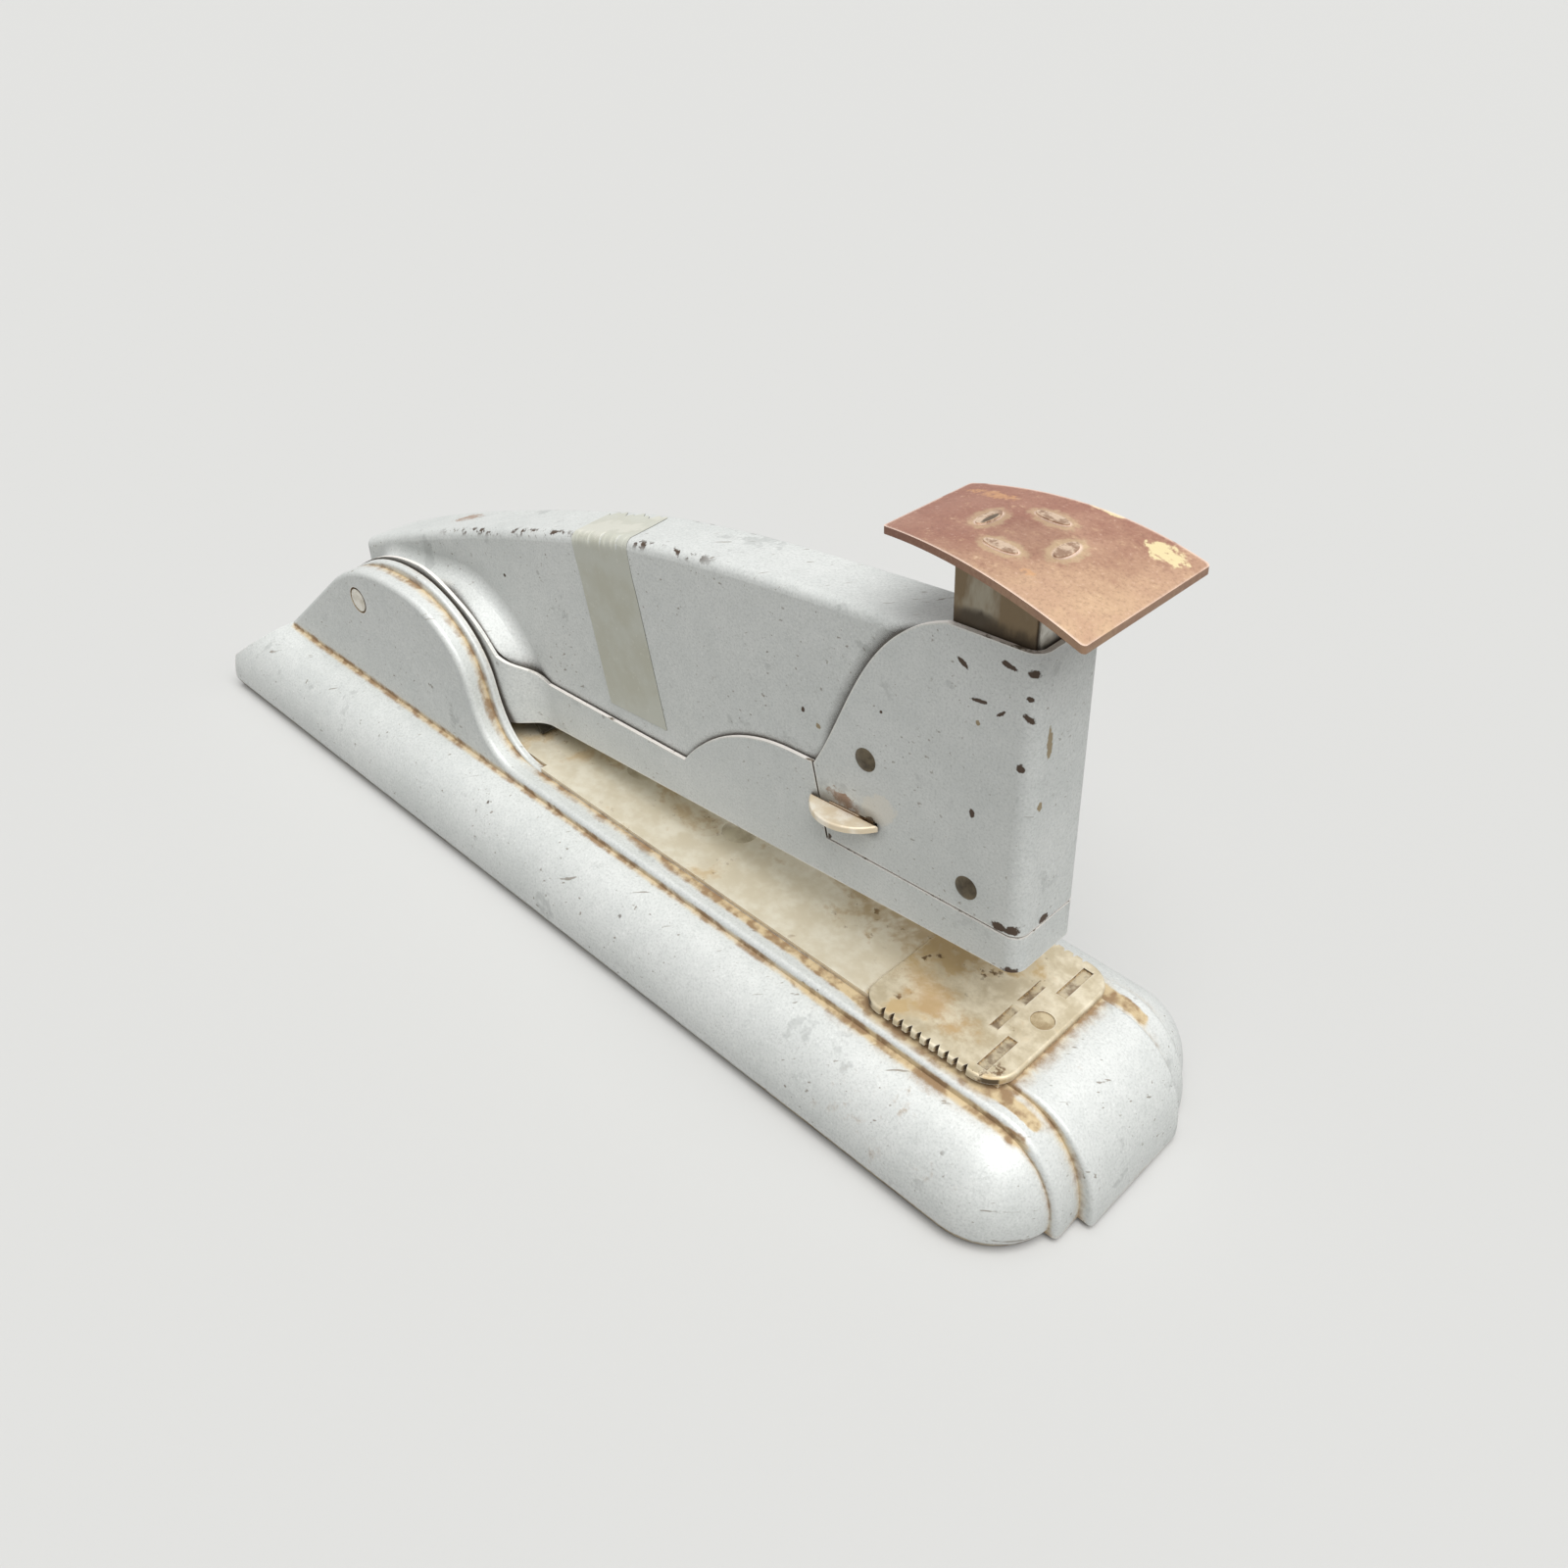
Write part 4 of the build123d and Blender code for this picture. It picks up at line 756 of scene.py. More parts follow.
@dataclass(frozen=True)
class WornBronze(Finish):
    """Bronzed steel, dusty red behind and golden in front, bright at its rubbed edges with a
    painted highlight, with painted shade on its sides and underside and a painted shadow beside
    each stake.
    """

    name: str
    arm: ArmFrame
    red: Colour = paint(160, 112, 94)
    dusty: Colour = paint(182, 138, 118)
    gold: Colour = paint(218, 186, 150)
    deep: Colour = paint(104, 70, 54)
    worn_and_highlit: Colour = paint(244, 220, 204)
    crust: Colour = paint(228, 214, 168)
    orange: Colour = paint(214, 164, 116)
    pale: tuple[Mark, ...] = (
        Mark((161.8, 10.8, 47.4), (7.0, 5.6, 6.0)),
        Mark((151.0, 13.0, 48.6), (7.0, 1.2, 6.0)),
    )
    underside_shade_tone: Colour = paint(72, 56, 44)
    gold_from: float = 157 * MM
    gold_along: float = 48.0
    gold_across: float = 38.0
    halo_width: float = 3.6
    stake_shadow_width: float = 0.5
    stake_shadow_shift: tuple[float, float] = (0.2, -0.3)
    worn_and_highlit_reach: float = 0.7 * MM
    relief: float = 0.05 * MM
    spots: tuple[Mark, ...] = (
        Mark((153.4, -8.2, 48.4), (2.6, 1.7, 4.0)),
        Mark((137.0, 7.0, 50.0), (9.0, 2.6, 4.0)),
    )
    shaded: tuple[Mark, ...] = (Mark((148.5, -0.5, 48.6), (16.0, 12.0, 6.0)),)
    stakes: tuple[Mark, ...] = (
        Mark((147.55, -5.7, 48.8), (5.2, 2.0, 6.0)),
        Mark((147.55, 5.7, 48.8), (5.2, 2.0, 6.0)),
        Mark((141.5, 0.0, 49.2), (2.0, 5.2, 6.0)),
        Mark((153.6, 0.0, 48.2), (2.0, 5.2, 6.0)),
    )

    def material(self) -> bpy.types.Material:
        """Make the material.

        Returns:
            The finished material.
        """
        graph = Graph(self.name)
        along = graph.along(self.arm.forward, self.arm.hinge) - self.gold_from
        across = graph.along(ACROSS)
        cloud = graph.noise(10 * MM, 4, 0.6)
        mottle = graph.noise(2.2 * MM, 4, 0.65)
        ragged = (graph.noise(1.2 * MM, 4, 0.65) - 0.5) * 2.0
        golden = along * self.gold_along - across * self.gold_across
        golden = golden + (cloud - 0.5) * 2.2 + (mottle - 0.5) * 0.8
        speck = graph.noise(0.55 * MM, 3, 0.7)
        colour = graph.mix(golden.rise(-0.9, 0.9), self.red, self.gold)
        colour = graph.mix(cloud.rise(0.4, 0.65) * 0.5, colour, self.dusty)
        colour = graph.mix(mottle.rise(0.58, 0.72) * 0.35, colour, self.gold)
        colour = graph.mix(speck.rise(0.5, 0.34) * 0.22, colour, self.deep)
        colour = graph.mix(speck.rise(0.58, 0.74) * 0.3, colour, self.worn_and_highlit)
        spotted = graph.blots(self.arm, self.spots, Wear.PRIMER, ragged) * mottle.rise(0.36, 0.56)
        colour = graph.mix(spotted * 0.6, colour, self.orange)
        shaded = graph.blots(self.arm, self.shaded, Wear.PRIMER, ragged * 0.5)
        colour = graph.mix(shaded * 0.18, colour, self.deep)
        colour = self.peened(graph, colour, ragged)
        pitted = graph.blots(self.arm, self.pale, Wear.PRIMER, ragged) * mottle.rise(0.36, 0.48)
        colour = graph.mix(pitted * 0.9, colour, self.crust)
        top = graph.facing(self.arm.upward).rise(0.3, 0.7)
        # Painted shade on the sides of the cap.
        side_shade = abs(graph.facing(self.arm.upward)).rise(0.6, 0.3)
        colour = graph.mix(side_shade * 0.55, colour, self.deep)
        # Pale top edges: rubbed metal with a painted highlight along the rim.
        edge = graph.edge(self.worn_and_highlit_reach).rise(0.16, 0.42) * top
        edge = edge * graph.noise(5 * MM, 3).rise(0.28, 0.46)
        colour = graph.mix(edge * 0.9, colour, self.worn_and_highlit)
        # Painted shade on the faces that turn down.
        underside_shade = graph.facing(self.arm.upward).rise(-0.2, -0.6)
        colour = graph.mix(underside_shade * 0.75, colour, self.underside_shade_tone)
        height = graph.noise(0.6 * MM, 3) * 0.4 + mottle * 0.6 + pitted * ragged
        return graph.surface(
            base_color=colour,
            metallic=0.4 * (1 - pitted * 0.7),
            roughness=(0.4 + mottle * 0.18 + pitted * 0.3).lesser(1.0),
            normal=graph.bump(height, self.relief),
        )


    def peened(self, graph: Graph, colour: Socket, ragged: Value) -> Socket:
        """Lay a pale hammered halo round each stake, and a painted shadow on its near side.

        Args:
            graph: Graph of the material.
            colour: Colour of the cap so far.
            ragged: Small value that breaks up the edges.

        Returns:
            The colour with the marks of the hammer and the painted shadows.
        """
        shift = Vector((*self.stake_shadow_shift, 0))
        for stake in self.stakes:
            length, width, depth = stake.size
            wide = (length + self.halo_width, width + self.halo_width, depth)
            stake_shadow_size = (length + self.stake_shadow_width, width + self.stake_shadow_width, depth)
            halo = graph.blot(self.arm, Mark(stake.place, wide), ragged * 0.4)
            colour = graph.mix(halo * 0.3, colour, self.crust)
            # Painted shadow on the near side of each stake.
            stake_shadow = Mark(tuple(Vector(stake.place) + shift), stake_shadow_size)
            colour = graph.mix(graph.blot(self.arm, stake_shadow, ragged * 0.15) * 0.85, colour, self.deep)
        return colour


@dataclass(frozen=True)
class GrimyPlunger(Finish):
    """Nickelled sheet, brown, darker towards its foot and in its corners, and pale where its stakes
    stand out of the cap, with painted shade in one stake's slot.
    """

    name: str
    arm: ArmFrame
    plate: Colour = paint(166, 158, 140)
    darkening: Colour = paint(74, 62, 46)
    brown: Colour = paint(130, 112, 86)
    stake: Colour = paint(214, 190, 166)
    tarnish: Colour = paint(158, 128, 106)
    slot_shade_mark: Mark = Mark((141.9, -0.2, 49.5), (1.0, 4.2, 6.0))
    stake_starts: tuple[float, float] = (47.3 * MM, 47.6 * MM)
    darker_below: tuple[float, float] = (41.5 * MM, 38.5 * MM)
    corner_reach: float = 3 * MM
    relief: float = 0.08 * MM

    def material(self) -> bpy.types.Material:
        """Make the material.

        Returns:
            The finished material.
        """
        graph = Graph(self.name)
        above = graph.along(self.arm.upward, self.arm.hinge)
        upright = graph.stretched(Vector(), Vector((1, 1, 0.3)))
        streaks = graph.noise(4 * MM, 4, 0.6, at=upright)
        mottle = graph.noise(1.4 * MM, 4, 0.65)
        colour = graph.mix(streaks.rise(0.4, 0.62), self.brown, self.plate)
        # Darker towards the foot of the plunger and in its corners.
        low = above.rise(*self.darker_below)
        corner = graph.crevice(self.corner_reach)
        darkening = (low * 0.5 + corner * 0.7 + (streaks - 0.5) * 1.3).rise(0.25, 0.6)
        colour = graph.mix(darkening * 0.9, colour, self.darkening)
        stake = above.rise(*self.stake_starts)
        peened = graph.mix(mottle.rise(0.42, 0.6), self.stake, self.tarnish)
        colour = graph.mix(stake, colour, peened)
        # Painted shade of a slot in the rear stake.
        sunk = graph.blot(self.arm, self.slot_shade_mark, (mottle - 0.5) * 0.8)
        colour = graph.mix(sunk * 0.85, colour, self.darkening)
        return graph.surface(
            base_color=colour,
            metallic=0.55 * (1 - darkening * 0.8),
            roughness=0.4 + mottle * 0.2 + darkening * 0.2,
            normal=graph.bump(mottle * (0.3 + stake * 1.7), self.relief),
        )


@dataclass(frozen=True)
class PlainSteel(Finish):
    """Bare or blackened steel with fine grain and grime in its corners."""

    name: str
    light: Colour = paint(202, 199, 190)
    dark: Colour = paint(160, 155, 144)
    grime: Colour = paint(74, 60, 44)
    grimy: float = 0.8
    gloss: float = 0.26
    metal: float = 0.85
    reach: float = 1.2 * MM
    grime_from: float = 0.3

    def material(self) -> bpy.types.Material:
        """Make the material.

        Returns:
            The finished material.
        """
        graph = Graph(self.name)
        cloud = graph.noise(3 * MM, 4, 0.6)
        grain = graph.noise(0.4 * MM, 2)
        colour = graph.mix(cloud.rise(0.35, 0.65), self.dark, self.light)
        corner = graph.crevice(self.reach) + (cloud - 0.5) * 0.6
        corner = corner.rise(self.grime_from, self.grime_from + 0.32) * self.grimy
        colour = graph.mix(corner, colour, self.grime)
        return graph.surface(
            base_color=colour,
            metallic=self.metal * (1 - corner * 0.7),
            roughness=(self.gloss + cloud * 0.14 + corner * 0.35).lesser(1.0),
            normal=graph.bump(grain * 0.4 + cloud * 0.6, 0.03 * MM),
        )


@dataclass(frozen=True)
class CoilSteel(PlainSteel):
    """Darkened spring wire."""

    light: Colour = paint(120, 116, 108)
    dark: Colour = paint(80, 76, 68)


@dataclass(frozen=True)
class StapleWire(Finish):
    """Bright wire staples side by side, each with its own round back."""

    name: str
    arm: ArmFrame
    wire: Colour = paint(206, 204, 198)
    glue: Colour = paint(150, 142, 126)
    pitch: float = 0.55 * MM

    def material(self) -> bpy.types.Material:
        """Make the material.

        Returns:
            The finished material.
        """
        graph = Graph(self.name)
        step = graph.along(self.arm.forward, self.arm.hinge) * (math.pi / self.pitch)
        wave = graph.node("ShaderNodeMath", {"operation": "SINE"}, {0: step})
        ridge = abs(graph.value(wave.outputs[0]))
        smear = graph.noise(2 * MM, 3)
        colour = graph.mix(ridge.rise(0.5, 0.2) * smear.rise(0.3, 0.6), self.wire, self.glue)
        return graph.surface(
            base_color=colour,
            metallic=0.9,
            roughness=0.25 + smear * 0.15,
            normal=graph.bump(ridge, 0.12 * MM),
        )


@dataclass(frozen=True)
class YellowedFilm(Finish):
    """Old sticky tape, yellowed, thin and blotchy."""

    name: str
    yellow: Colour = paint(197, 198, 186)
    brown: Colour = paint(189, 188, 172)
    dust: Colour = paint(228, 227, 218)

    def material(self) -> bpy.types.Material:
        """Make the material.

        Returns:
            The finished material.
        """
        graph = Graph(self.name)
        blotch = graph.noise(9 * MM, 4, 0.6)
        fine = graph.noise(0.8 * MM, 3, 0.65)
        colour = graph.mix(blotch.rise(0.4, 0.66), self.yellow, self.brown)
        colour = graph.mix(fine.rise(0.6, 0.7) * 0.25, colour, self.dust)
        dusty = graph.facing(UPRIGHT).rise(0.5, 0.8) * blotch.rise(0.52, 0.6)
        colour = graph.mix(dusty * 0.4, colour, self.dust)
        return graph.surface(
            base_color=colour,
            roughness=0.34 + fine * 0.2,
            normal=graph.bump(blotch * 0.6 + fine * 0.4, 0.04 * MM),
        )


@dataclass(frozen=True)
class MattRubber(Finish):
    """Black rubber with dust on it."""

    name: str
    black: Colour = paint(38, 37, 36)
    dust: Colour = paint(86, 82, 76)

    def material(self) -> bpy.types.Material:
        """Make the material.

        Returns:
            The finished material.
        """
        graph = Graph(self.name)
        dusty = graph.noise(2 * MM, 4, 0.6)
        colour = graph.mix(dusty.rise(0.45, 0.75), self.black, self.dust)
        return graph.surface(
            base_color=colour,
            roughness=0.75 + dusty * 0.2,
            normal=graph.bump(graph.noise(0.3 * MM, 2), 0.03 * MM),
        )


@dataclass(frozen=True)
class Squeeze:
    """How a spring shortens: the joint that presses it, and the end that stays put."""

    joint: str
    axis: Vector
    anchor: Vector
    keep: float


class SubAssembly(ABC):
    """A group of pieces that is made and dressed together."""

    @abstractmethod
    def build(self) -> None:
        """Make its own pieces and dress its CAD nodes."""

    def dress(self, finish: Finish, *nodes: str) -> None:
        """Give CAD nodes one finish.

        Args:
            finish: The finish for all their faces.
            *nodes: Names of the nodes.
        """
        material = finish.material()
        for node in nodes:
            slots = frame["nodes"][node].data.materials
            slots.clear()
            slots.append(material)
            LOG.info("dressed %s in %s", node, material.name)

    def spring(self, node: str, body: str, finish: Finish, squeeze: Squeeze) -> None:
        """Put a copy of the CAD spring on its body in place of the CAD node.

        Args:
            node: Name of the CAD spring.
            body: Body that carries its fixed end.
            finish: Its finish.
            squeeze: Not used.
        """
        shape = bmesh.new()
        shape.from_mesh(frame["nodes"][node].data)
        bmesh.ops.remove_doubles(shape, verts=shape.verts, dist=MERGE)
        mesh = bpy.data.meshes.new(f"pressed_{node}")
        shape.to_mesh(mesh)
        shape.free()
        mesh.materials.append(finish.material())
        piece = bpy.data.objects.new(f"pressed_{node}", mesh)
        bpy.context.scene.collection.objects.link(piece)
        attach(piece, body)
        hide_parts(node)
        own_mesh(piece)
        LOG.info("made %s", piece.name)


@dataclass
class Base(SubAssembly):
    """Cast base with its deck, rivets, return spring, feet and hinge pin."""

    arm: ArmFrame
    leaf_keep: float = 0.18

    def build(self) -> None:
        """Dress the base."""
        self.dress(SilverPaint("base_paint", self.arm, crust=1.0), "base_shell")
        self.dress(StainedNickel("deck_nickel", rusted=0.0), "platform_plate")
        rivet = PlainSteel(
            "deck_rivet",
            paint(222, 214, 192),
            paint(190, 178, 152),
            grimy=0.6,
            metal=0.35,
            grime_from=0.42,
        )
        self.dress(rivet, "platform_rivets", "spring_rivet")
        leaf = PlainSteel("leaf_steel", paint(96, 92, 84), paint(62, 58, 52))
        seat = Vector(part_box("arm_spring")[0])
        self.spring("arm_spring", "base", leaf, Squeeze("arm_pivot", UPRIGHT, seat, self.leaf_keep))
        pin = PlainSteel("pin_steel", paint(226, 222, 212), paint(190, 184, 170), gloss=0.18)
        self.dress(pin, "hinge_pin")
        self.dress(MattRubber("foot_rubber"), "rubber_feet")


@dataclass
class Anvil(SubAssembly):
    """Sliding anvil with its stud and clip."""

    def build(self) -> None:
        """Dress the anvil."""
        _, (_, side, top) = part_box("anvil_plate")
        plate = StainedNickel(
            "anvil_nickel",
            plate=paint(202, 188, 158),
            bright=paint(234, 224, 200),
            deep=paint(104, 78, 48),
            sunk_below=top,
            tooth_tip=side,
            stained=1.2,
            metal=0.45,
        )
        self.dress(plate, "anvil_plate")
        stud = PlainSteel("stud_steel", paint(212, 196, 162), paint(168, 146, 110), metal=0.4)
        self.dress(stud, "anvil_stud", "anvil_clip")


@dataclass
class Magazine(SubAssembly):
    """Painted channel with the rail, the staples and the follower inside it."""

    arm: ArmFrame
    coil_rear: float = 34.0 * MM
    coil_keep: float = 0.44
    marks: tuple[Mark, ...] = (
        Mark((149.4, -7.5, -17.4), (5.0, 3.0, 2.0)),
        Mark((154.6, -7.2, -16.4), (3.0, 3.0, 2.4)),
    )

    def build(self) -> None:
        """Dress the magazine."""
        channel = SilverPaint(
            "channel_paint",
            self.arm,
            self.marks,
            grime=0.4,
            sheet=1.0,
            seam_shade_share=0.8,
            scuffs=0.7,
            nicks=0.4,
        )
        self.dress(channel, "magazine_channel")
        steel = PlainSteel("rail_steel")
        inner = ("staple_rail", "rail_rivets", "rod_bracket", "guide_rod", "staple_follower")
        self.dress(steel, *inner)
        coil = CoilSteel("follower_coil")
        fixed_end = self.arm.point(self.coil_rear, 0, 0)
        squeeze = Squeeze("follower_slide", self.arm.forward, fixed_end, self.coil_keep)
        self.spring("follower_spring", "magazine", coil, squeeze)
        self.dress(StapleWire("staple_wire", self.arm), "staple_strip")


@dataclass
class Cover(SubAssembly):
    """Painted loading cover and head, with their rivets and a strip of old tape."""

    arm: ArmFrame
    side: float = 6.65
    rear_marks: tuple[Mark, ...] = (
        Mark((116.4, -6.65, 11.0), (1.1, 2.0, 1.0), wear=Wear.TAN),
        Mark((113.2, -6.65, 12.8), (0.8, 2.0, 1.1)),
        Mark((36.8, -6.65, 12.4), (0.8, 2.0, 0.8)),
        Mark((14.5, 1.5, 15.4), (11.0, 5.0, 4.0), wear=Wear.RUST),
    )
    head_marks: tuple[Mark, ...] = (
        Mark((143.9, -7.5, 32.3), (2.6, 2.0, 0.9), -35),
        Mark((151.3, -7.5, 34.4), (2.6, 2.0, 1.1), -10),
        Mark((155.0, -7.2, 34.3), (1.7, 3.0, 1.4)),
        Mark((154.7, -7.2, 30.5), (1.2, 2.0, 1.0)),
        Mark((146.8, -7.5, 27.5), (2.8, 2.0, 0.8), 5),
        Mark((150.4, -7.5, 26.8), (2.2, 2.0, 0.6), 40),
        Mark((154.8, -7.3, 27.5), (2.2, 2.0, 1.1), -40),
        Mark((154.1, -7.5, 19.7), (1.3, 2.0, 1.5)),
        Mark((146.5, -7.5, 8.9), (1.0, 2.0, 1.5)),
        Mark((152.2, -7.5, -8.6), (3.4, 2.0, 1.8)),
        Mark((154.6, -7.2, -8.4), (2.4, 3.0, 1.8)),
        Mark((156.0, -1.4, -8.7), (2.0, 2.8, 1.7)),
        Mark((156.0, -3.9, 22.7), (2.0, 1.4, 5.6), wear=Wear.TAN),
        Mark((156.0, -5.0, 13.0), (2.0, 1.2, 1.7), wear=Wear.TAN),
        Mark((146.8, -7.5, 24.0), (0.9, 2.0, 0.9), wear=Wear.TAN),
        Mark((129.7, -7.5, 19.1), (0.7, 2.0, 0.7)),
        Mark((127.7, -7.5, -1.2), (2.2, 2.0, 1.6)),
        Mark((119.2, -7.5, -9.0), (0.9, 2.0, 3.0)),
        Mark((129.4, -7.5, 1.6), (8.0, 2.0, 6.0), 20, Wear.SMEAR),
        Mark((122.4, -7.5, 0.4), (7.0, 2.0, 2.8), -8, Wear.RUST),
    )
    tape_foot: tuple[float, float] = (72.5, -4.4)
    tape_width: float = 15.0
    tape_lean: float = -4.64
    tape_bend_height: float = 20.0
    tape_end: float = 4.2
    tape_tear: float = 1.3
    tape_tear_waves: tuple[float, float] = (31.0, 13.0)
    tape_lift: float = 0.1
    tape_film: float = 0.05
    tape_grid: tuple[int, int] = (24, 160)
    cast_from: float = 40.0

    def build(self) -> None:
        """Dress the cover and the head, and lay the tape."""
        cover = SilverPaint(
            "cover_paint",
            self.arm,
            self.rear_marks,
            grime=0.45,
            seam_shade_share=0.9,
            worn_crest=1.0,
            nicks=0.25,
        )
        self.dress(cover, "top_cover")
        head = SilverPaint(
            "head_paint",
            self.arm,
            self.head_marks,
            grime=0.45,
            sheet=0.9,
            seam_shade_share=0.5,
            scuffs=0.8,
            nicks=0.3,
        )
        self.dress(head, "head_housing")
        light, dark = paint(104, 94, 76), paint(64, 55, 42)
        rivet = PlainSteel("head_rivet", light, dark, metal=0.6, gloss=0.34)
        self.dress(rivet, "head_rivets")
        self.dress(PlainSteel("inner_steel"), "pivot_bush", "spring_seat")
        self.lay_tape()

    def lay_tape(self) -> None:
        """Lay a thin strip up the near side of the cover and over its top."""
        shape = bmesh.new()
        across, along = self.tape_grid
        bmesh.ops.create_grid(shape, x_segments=across, y_segments=along, size=0.5)
        cover = bmesh.new()
        cover.from_mesh(frame["nodes"]["top_cover"].data)
        surface = BVHTree.FromBMesh(cover)
        for vertex in shape.verts:
            vertex.co = self.tape_point(surface, vertex.co.x, vertex.co.y + 0.5)
        cover.free()
        bmesh.ops.recalc_face_normals(shape, faces=shape.faces)
        bmesh.ops.solidify(shape, geom=shape.faces[:], thickness=self.tape_film * MM)
        bmesh.ops.recalc_face_normals(shape, faces=shape.faces)
        mesh = bpy.data.meshes.new("cover_tape")
        shape.to_mesh(mesh)
        shape.free()
        mesh.materials.append(YellowedFilm("old_tape").material())
        tape = bpy.data.objects.new("cover_tape", mesh)
        bpy.context.scene.collection.objects.link(tape)
        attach(tape, "cover")
        LOG.info("made cover_tape")

    def tape_point(self, surface: BVHTree, share: float, run: float) -> Vector:
        """Find the tape's place on the cover's outside.

        Args:
            surface: The cover's faces.
            share: Place across the tape, from -0.5 to 0.5.
            run: Place along the tape, from 0 at its foot to 1 at its torn end.

        Returns:
            The point, just off the paint.
        """
        foot, low = self.tape_foot
        side_run = self.tape_bend_height - low
        over_run = self.side * 2
        short, long = self.tape_tear_waves
        torn = self.tape_tear * math.sin(share * short) * math.sin(share * long + 1)
        way = run * (side_run + over_run + self.tape_end + torn)
        along = foot + share * self.tape_width + self.tape_lean * way / side_run
        far = self.cast_from
        if way < side_run:
            start, aim = (along, -far, low + way), ACROSS
        elif way < side_run + over_run:
            angle = (way - side_run) / over_run * math.pi / 2
            outward = (-math.cos(angle), math.sin(angle))
            start = (along, outward[0] * far, self.tape_bend_height + outward[1] * far)
            aim = -(ACROSS * outward[0] + self.arm.upward * outward[1])
        else:
            start = (along, way - side_run - over_run, self.tape_bend_height + far)
            aim = -self.arm.upward
        hit, _, _, _ = surface.ray_cast(self.arm.point(*(MM * part for part in start)), aim)
        return hit - aim * self.tape_lift * MM


@dataclass
class Plunger(SubAssembly):
    """Striking cap, plunger, blade and their spring."""

    arm: ArmFrame
    coil_foot: float = 1.2 * MM
    coil_keep: float = 0.86

    def build(self) -> None:
        """Dress the plunger."""
        self.dress(WornBronze("cap_bronze", self.arm), "striking_cap")
        self.dress(GrimyPlunger("plunger_nickel", self.arm), "plunger_box")
        self.dress(PlainSteel("blade_steel"), "driver_blade", "blade_rivets")
        coil = CoilSteel("plunger_coil")
        fixed_end = self.arm.point(0, 0, self.coil_foot)
        squeeze = Squeeze("plunger_slide", self.arm.upward, fixed_end, self.coil_keep)
        self.spring("plunger_spring", "cover", coil, squeeze)


@dataclass
class Latch(SubAssembly):
    """Release tab and its spring."""

    arm: ArmFrame
    coil_front: float = 134.3 * MM
    coil_keep: float = 0.49

    def build(self) -> None:
        """Dress the latch."""
        tab = PlainSteel(
            "tab_steel",
            paint(248, 240, 224),
            paint(228, 212, 184),
            paint(140, 106, 68),
            metal=0.3,
            gloss=0.4,
            grimy=0.95,
            reach=2.4 * MM,
            grime_from=0.26,
        )
        self.dress(tab, "release_tab")
        coil = CoilSteel("latch_coil")
        fixed_end = self.arm.point(self.coil_front, 0, 0)
        squeeze = Squeeze("release_slide", self.arm.forward, fixed_end, self.coil_keep)
        self.spring("latch_spring", "cover", coil, squeeze)


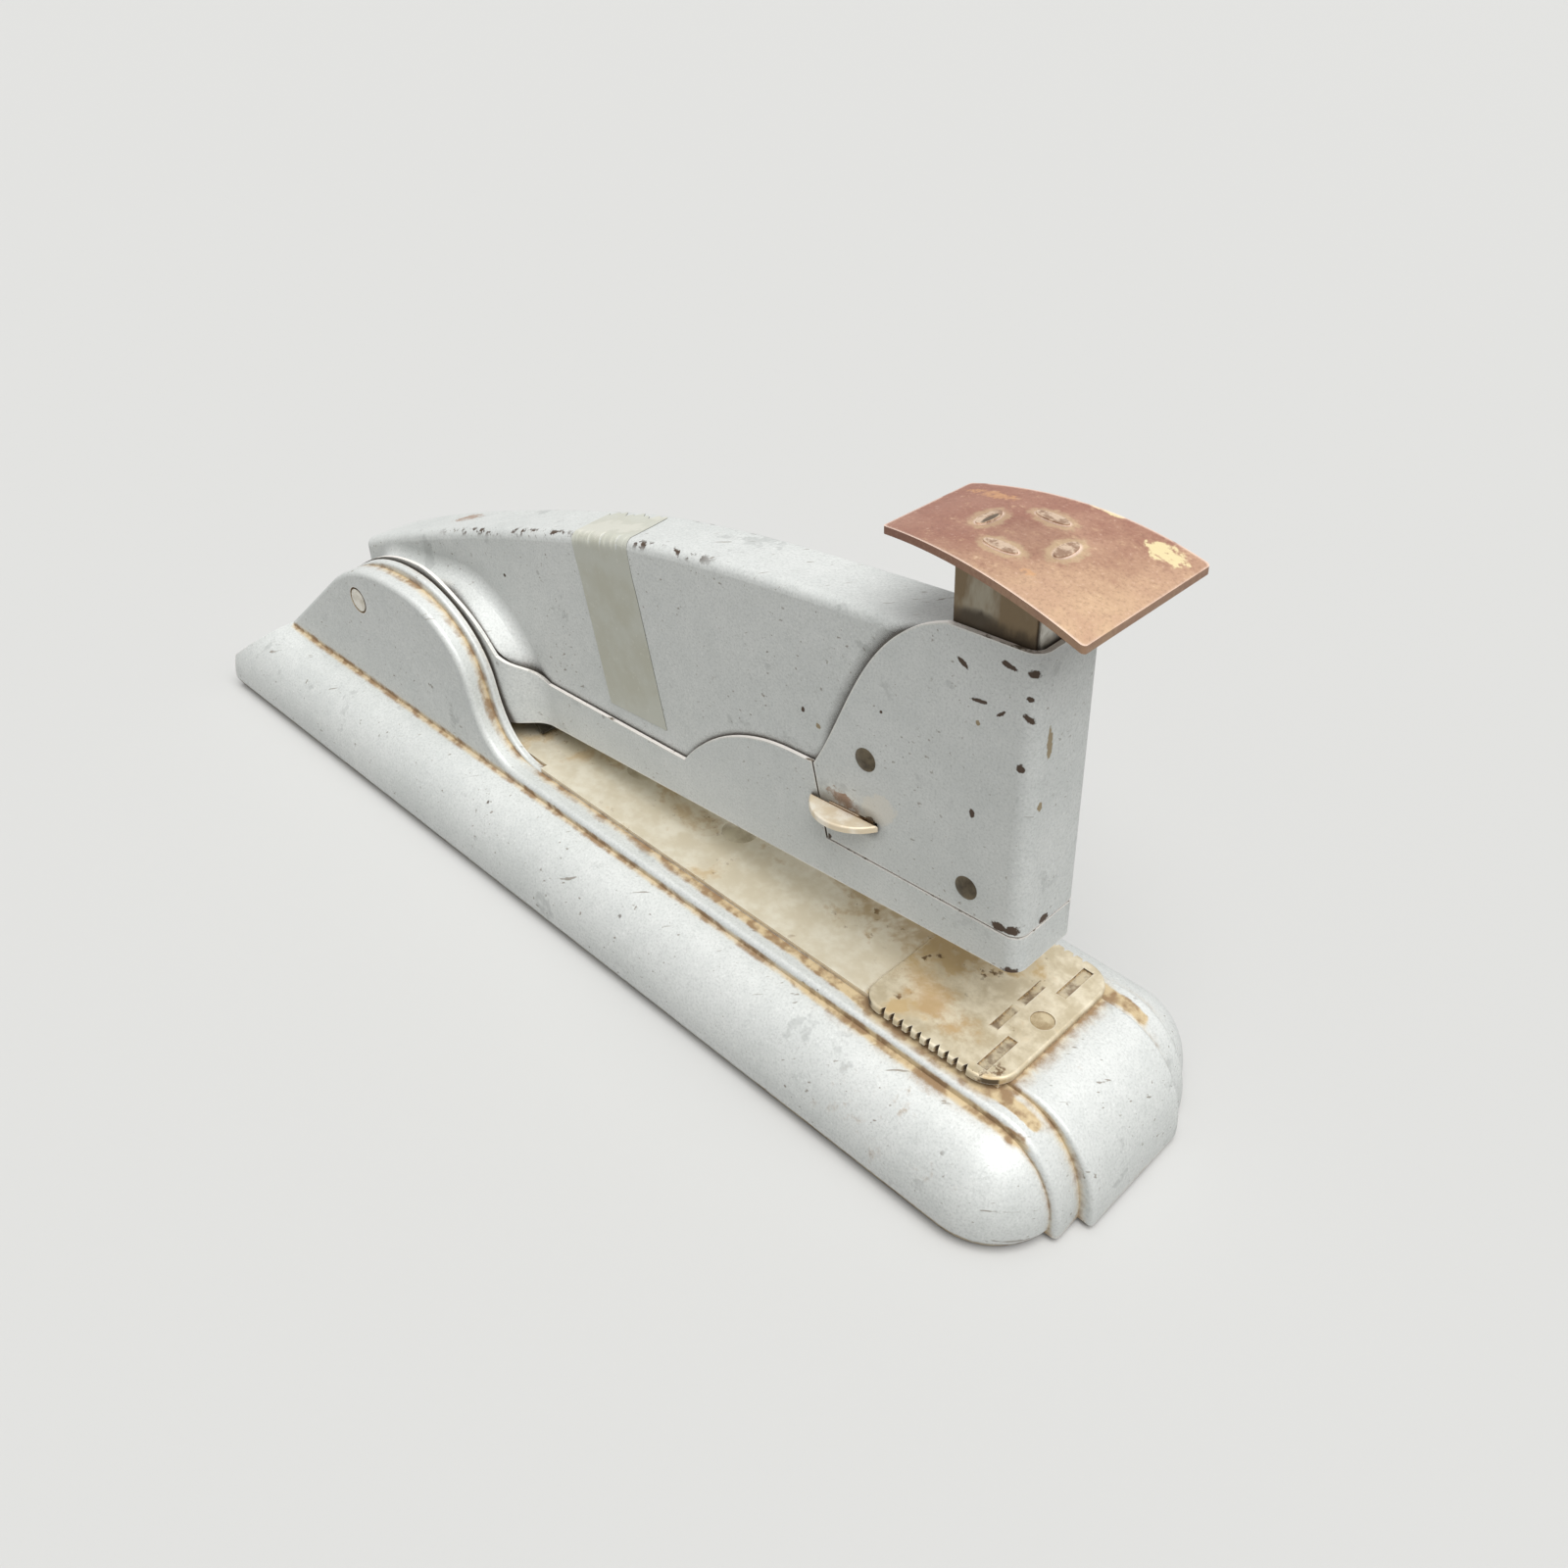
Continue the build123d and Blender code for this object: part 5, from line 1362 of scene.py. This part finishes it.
@dataclass
class Studio:
    """Pale floor, soft light from above and the camera of the photograph."""

    floor_half: float = 4.0
    floor_tone: Colour = paint(200, 200, 198)
    floor_bounce: Colour = paint(132, 132, 130)
    lamp_strength: float = 3.2
    lamp_spread: float = math.radians(55)
    lamp_from: Vector = Vector((0.30, -0.16, 0.94))
    sky_light: float = 0.36
    backdrop: float = 0.85
    lens: float = 31.5
    sensor: float = 36.0
    camera_place: Vector = Vector((0.1581, -0.1381, 0.1796))
    azimuth: float = math.radians(42.12)
    elevation: float = math.radians(37.63)
    roll: float = math.radians(2.47)
    nearest: float = 0.01

    def build(self) -> None:
        """Make the floor, the light and the camera."""
        self.build_floor()
        self.build_light()
        self.build_camera()

    def build_floor(self) -> None:
        """Lay a pale floor that takes the object's shadow."""
        mesh = bpy.data.meshes.new("floor")
        shape = bmesh.new()
        bmesh.ops.create_grid(shape, x_segments=1, y_segments=1, size=self.floor_half)
        shape.to_mesh(mesh)
        shape.free()
        floor = bpy.data.objects.new("floor", mesh)
        bpy.context.scene.collection.objects.link(floor)
        graph = Graph("floor_paper")
        rays = graph.node("ShaderNodeLightPath").outputs
        seen = graph.value(rays["Is Camera Ray"]) + graph.value(rays["Is Glossy Ray"])
        seen = seen + graph.value(rays["Is Transmission Ray"])
        tone = graph.mix(seen.lesser(1.0), self.floor_bounce, self.floor_tone)
        cloud = graph.noise(0.3, 3)
        mesh.materials.append(
            graph.surface(base_color=tone, roughness=0.8 + cloud * 0.1, specular_ior_level=0.2)
        )

    def build_light(self) -> None:
        """Hang a wide soft lamp above and light the room."""
        lamp = bpy.data.lights.new("overhead", "SUN")
        lamp.energy = self.lamp_strength
        lamp.angle = self.lamp_spread
        holder = bpy.data.objects.new("overhead", lamp)
        holder.rotation_euler = (-self.lamp_from).to_track_quat("-Z", "Y").to_euler()
        bpy.context.scene.collection.objects.link(holder)
        world = bpy.data.worlds.new("room")
        world.use_nodes = True
        bpy.context.scene.world = world
        tree = world.node_tree
        rays = tree.nodes.new("ShaderNodeLightPath")
        seen = rays.outputs["Is Camera Ray"]
        for name in ("Is Glossy Ray", "Is Transmission Ray"):
            either = tree.nodes.new("ShaderNodeMath")
            either.operation = "MAXIMUM"
            tree.links.new(seen, either.inputs[0])
            tree.links.new(rays.outputs[name], either.inputs[1])
            seen = either.outputs[0]
        level = tree.nodes.new("ShaderNodeMapRange")
        level.inputs["To Min"].default_value = self.sky_light
        level.inputs["To Max"].default_value = self.backdrop
        tree.links.new(seen, level.inputs["Value"])
        tree.links.new(level.outputs[0], tree.nodes["Background"].inputs["Strength"])
        tree.nodes["Background"].inputs["Color"].default_value = (1.0, 1.0, 1.0, 1.0)

    def build_camera(self) -> None:
        """Set the camera where the photograph was taken from."""
        turn, lift = self.azimuth, self.elevation
        back = Vector(
            (math.sin(turn) * math.cos(lift), -math.cos(turn) * math.cos(lift), math.sin(lift))
        )
        level = Vector((math.cos(turn), math.sin(turn), 0))
        upright = back.cross(level)
        right = level * math.cos(self.roll) + upright * math.sin(self.roll)
        upright = back.cross(right)
        data = bpy.data.cameras.new("camera")
        data.lens = self.lens
        data.sensor_width = self.sensor
        data.clip_start = self.nearest
        camera = bpy.data.objects.new("camera", data)
        axes = Matrix((right, upright, back)).transposed().to_4x4()
        camera.matrix_world = Matrix.Translation(self.camera_place) @ axes
        bpy.context.scene.collection.objects.link(camera)
        bpy.context.scene.camera = camera
        bpy.context.scene.view_settings.view_transform = "Standard"


@dataclass
class Stapler:
    """The whole stapler, by sub-assembly."""

    arm: ArmFrame
    groups: list[SubAssembly] = field(init=False)

    def __post_init__(self) -> None:
        """List the sub-assemblies."""
        arm = self.arm
        self.groups = [Base(arm), Anvil(), Magazine(arm), Cover(arm), Plunger(arm), Latch(arm)]

    def build(self) -> None:
        """Build every sub-assembly in turn."""
        for group in self.groups:
            group.build()
            LOG.info("built %s", type(group).__name__)


def main() -> None:
    """Build the scene."""
    logging.basicConfig(level=logging.INFO)
    Stapler(ArmFrame.from_joints(frame["joints"])).build()
    Studio().build()


if __name__ == "__main__":
    main()
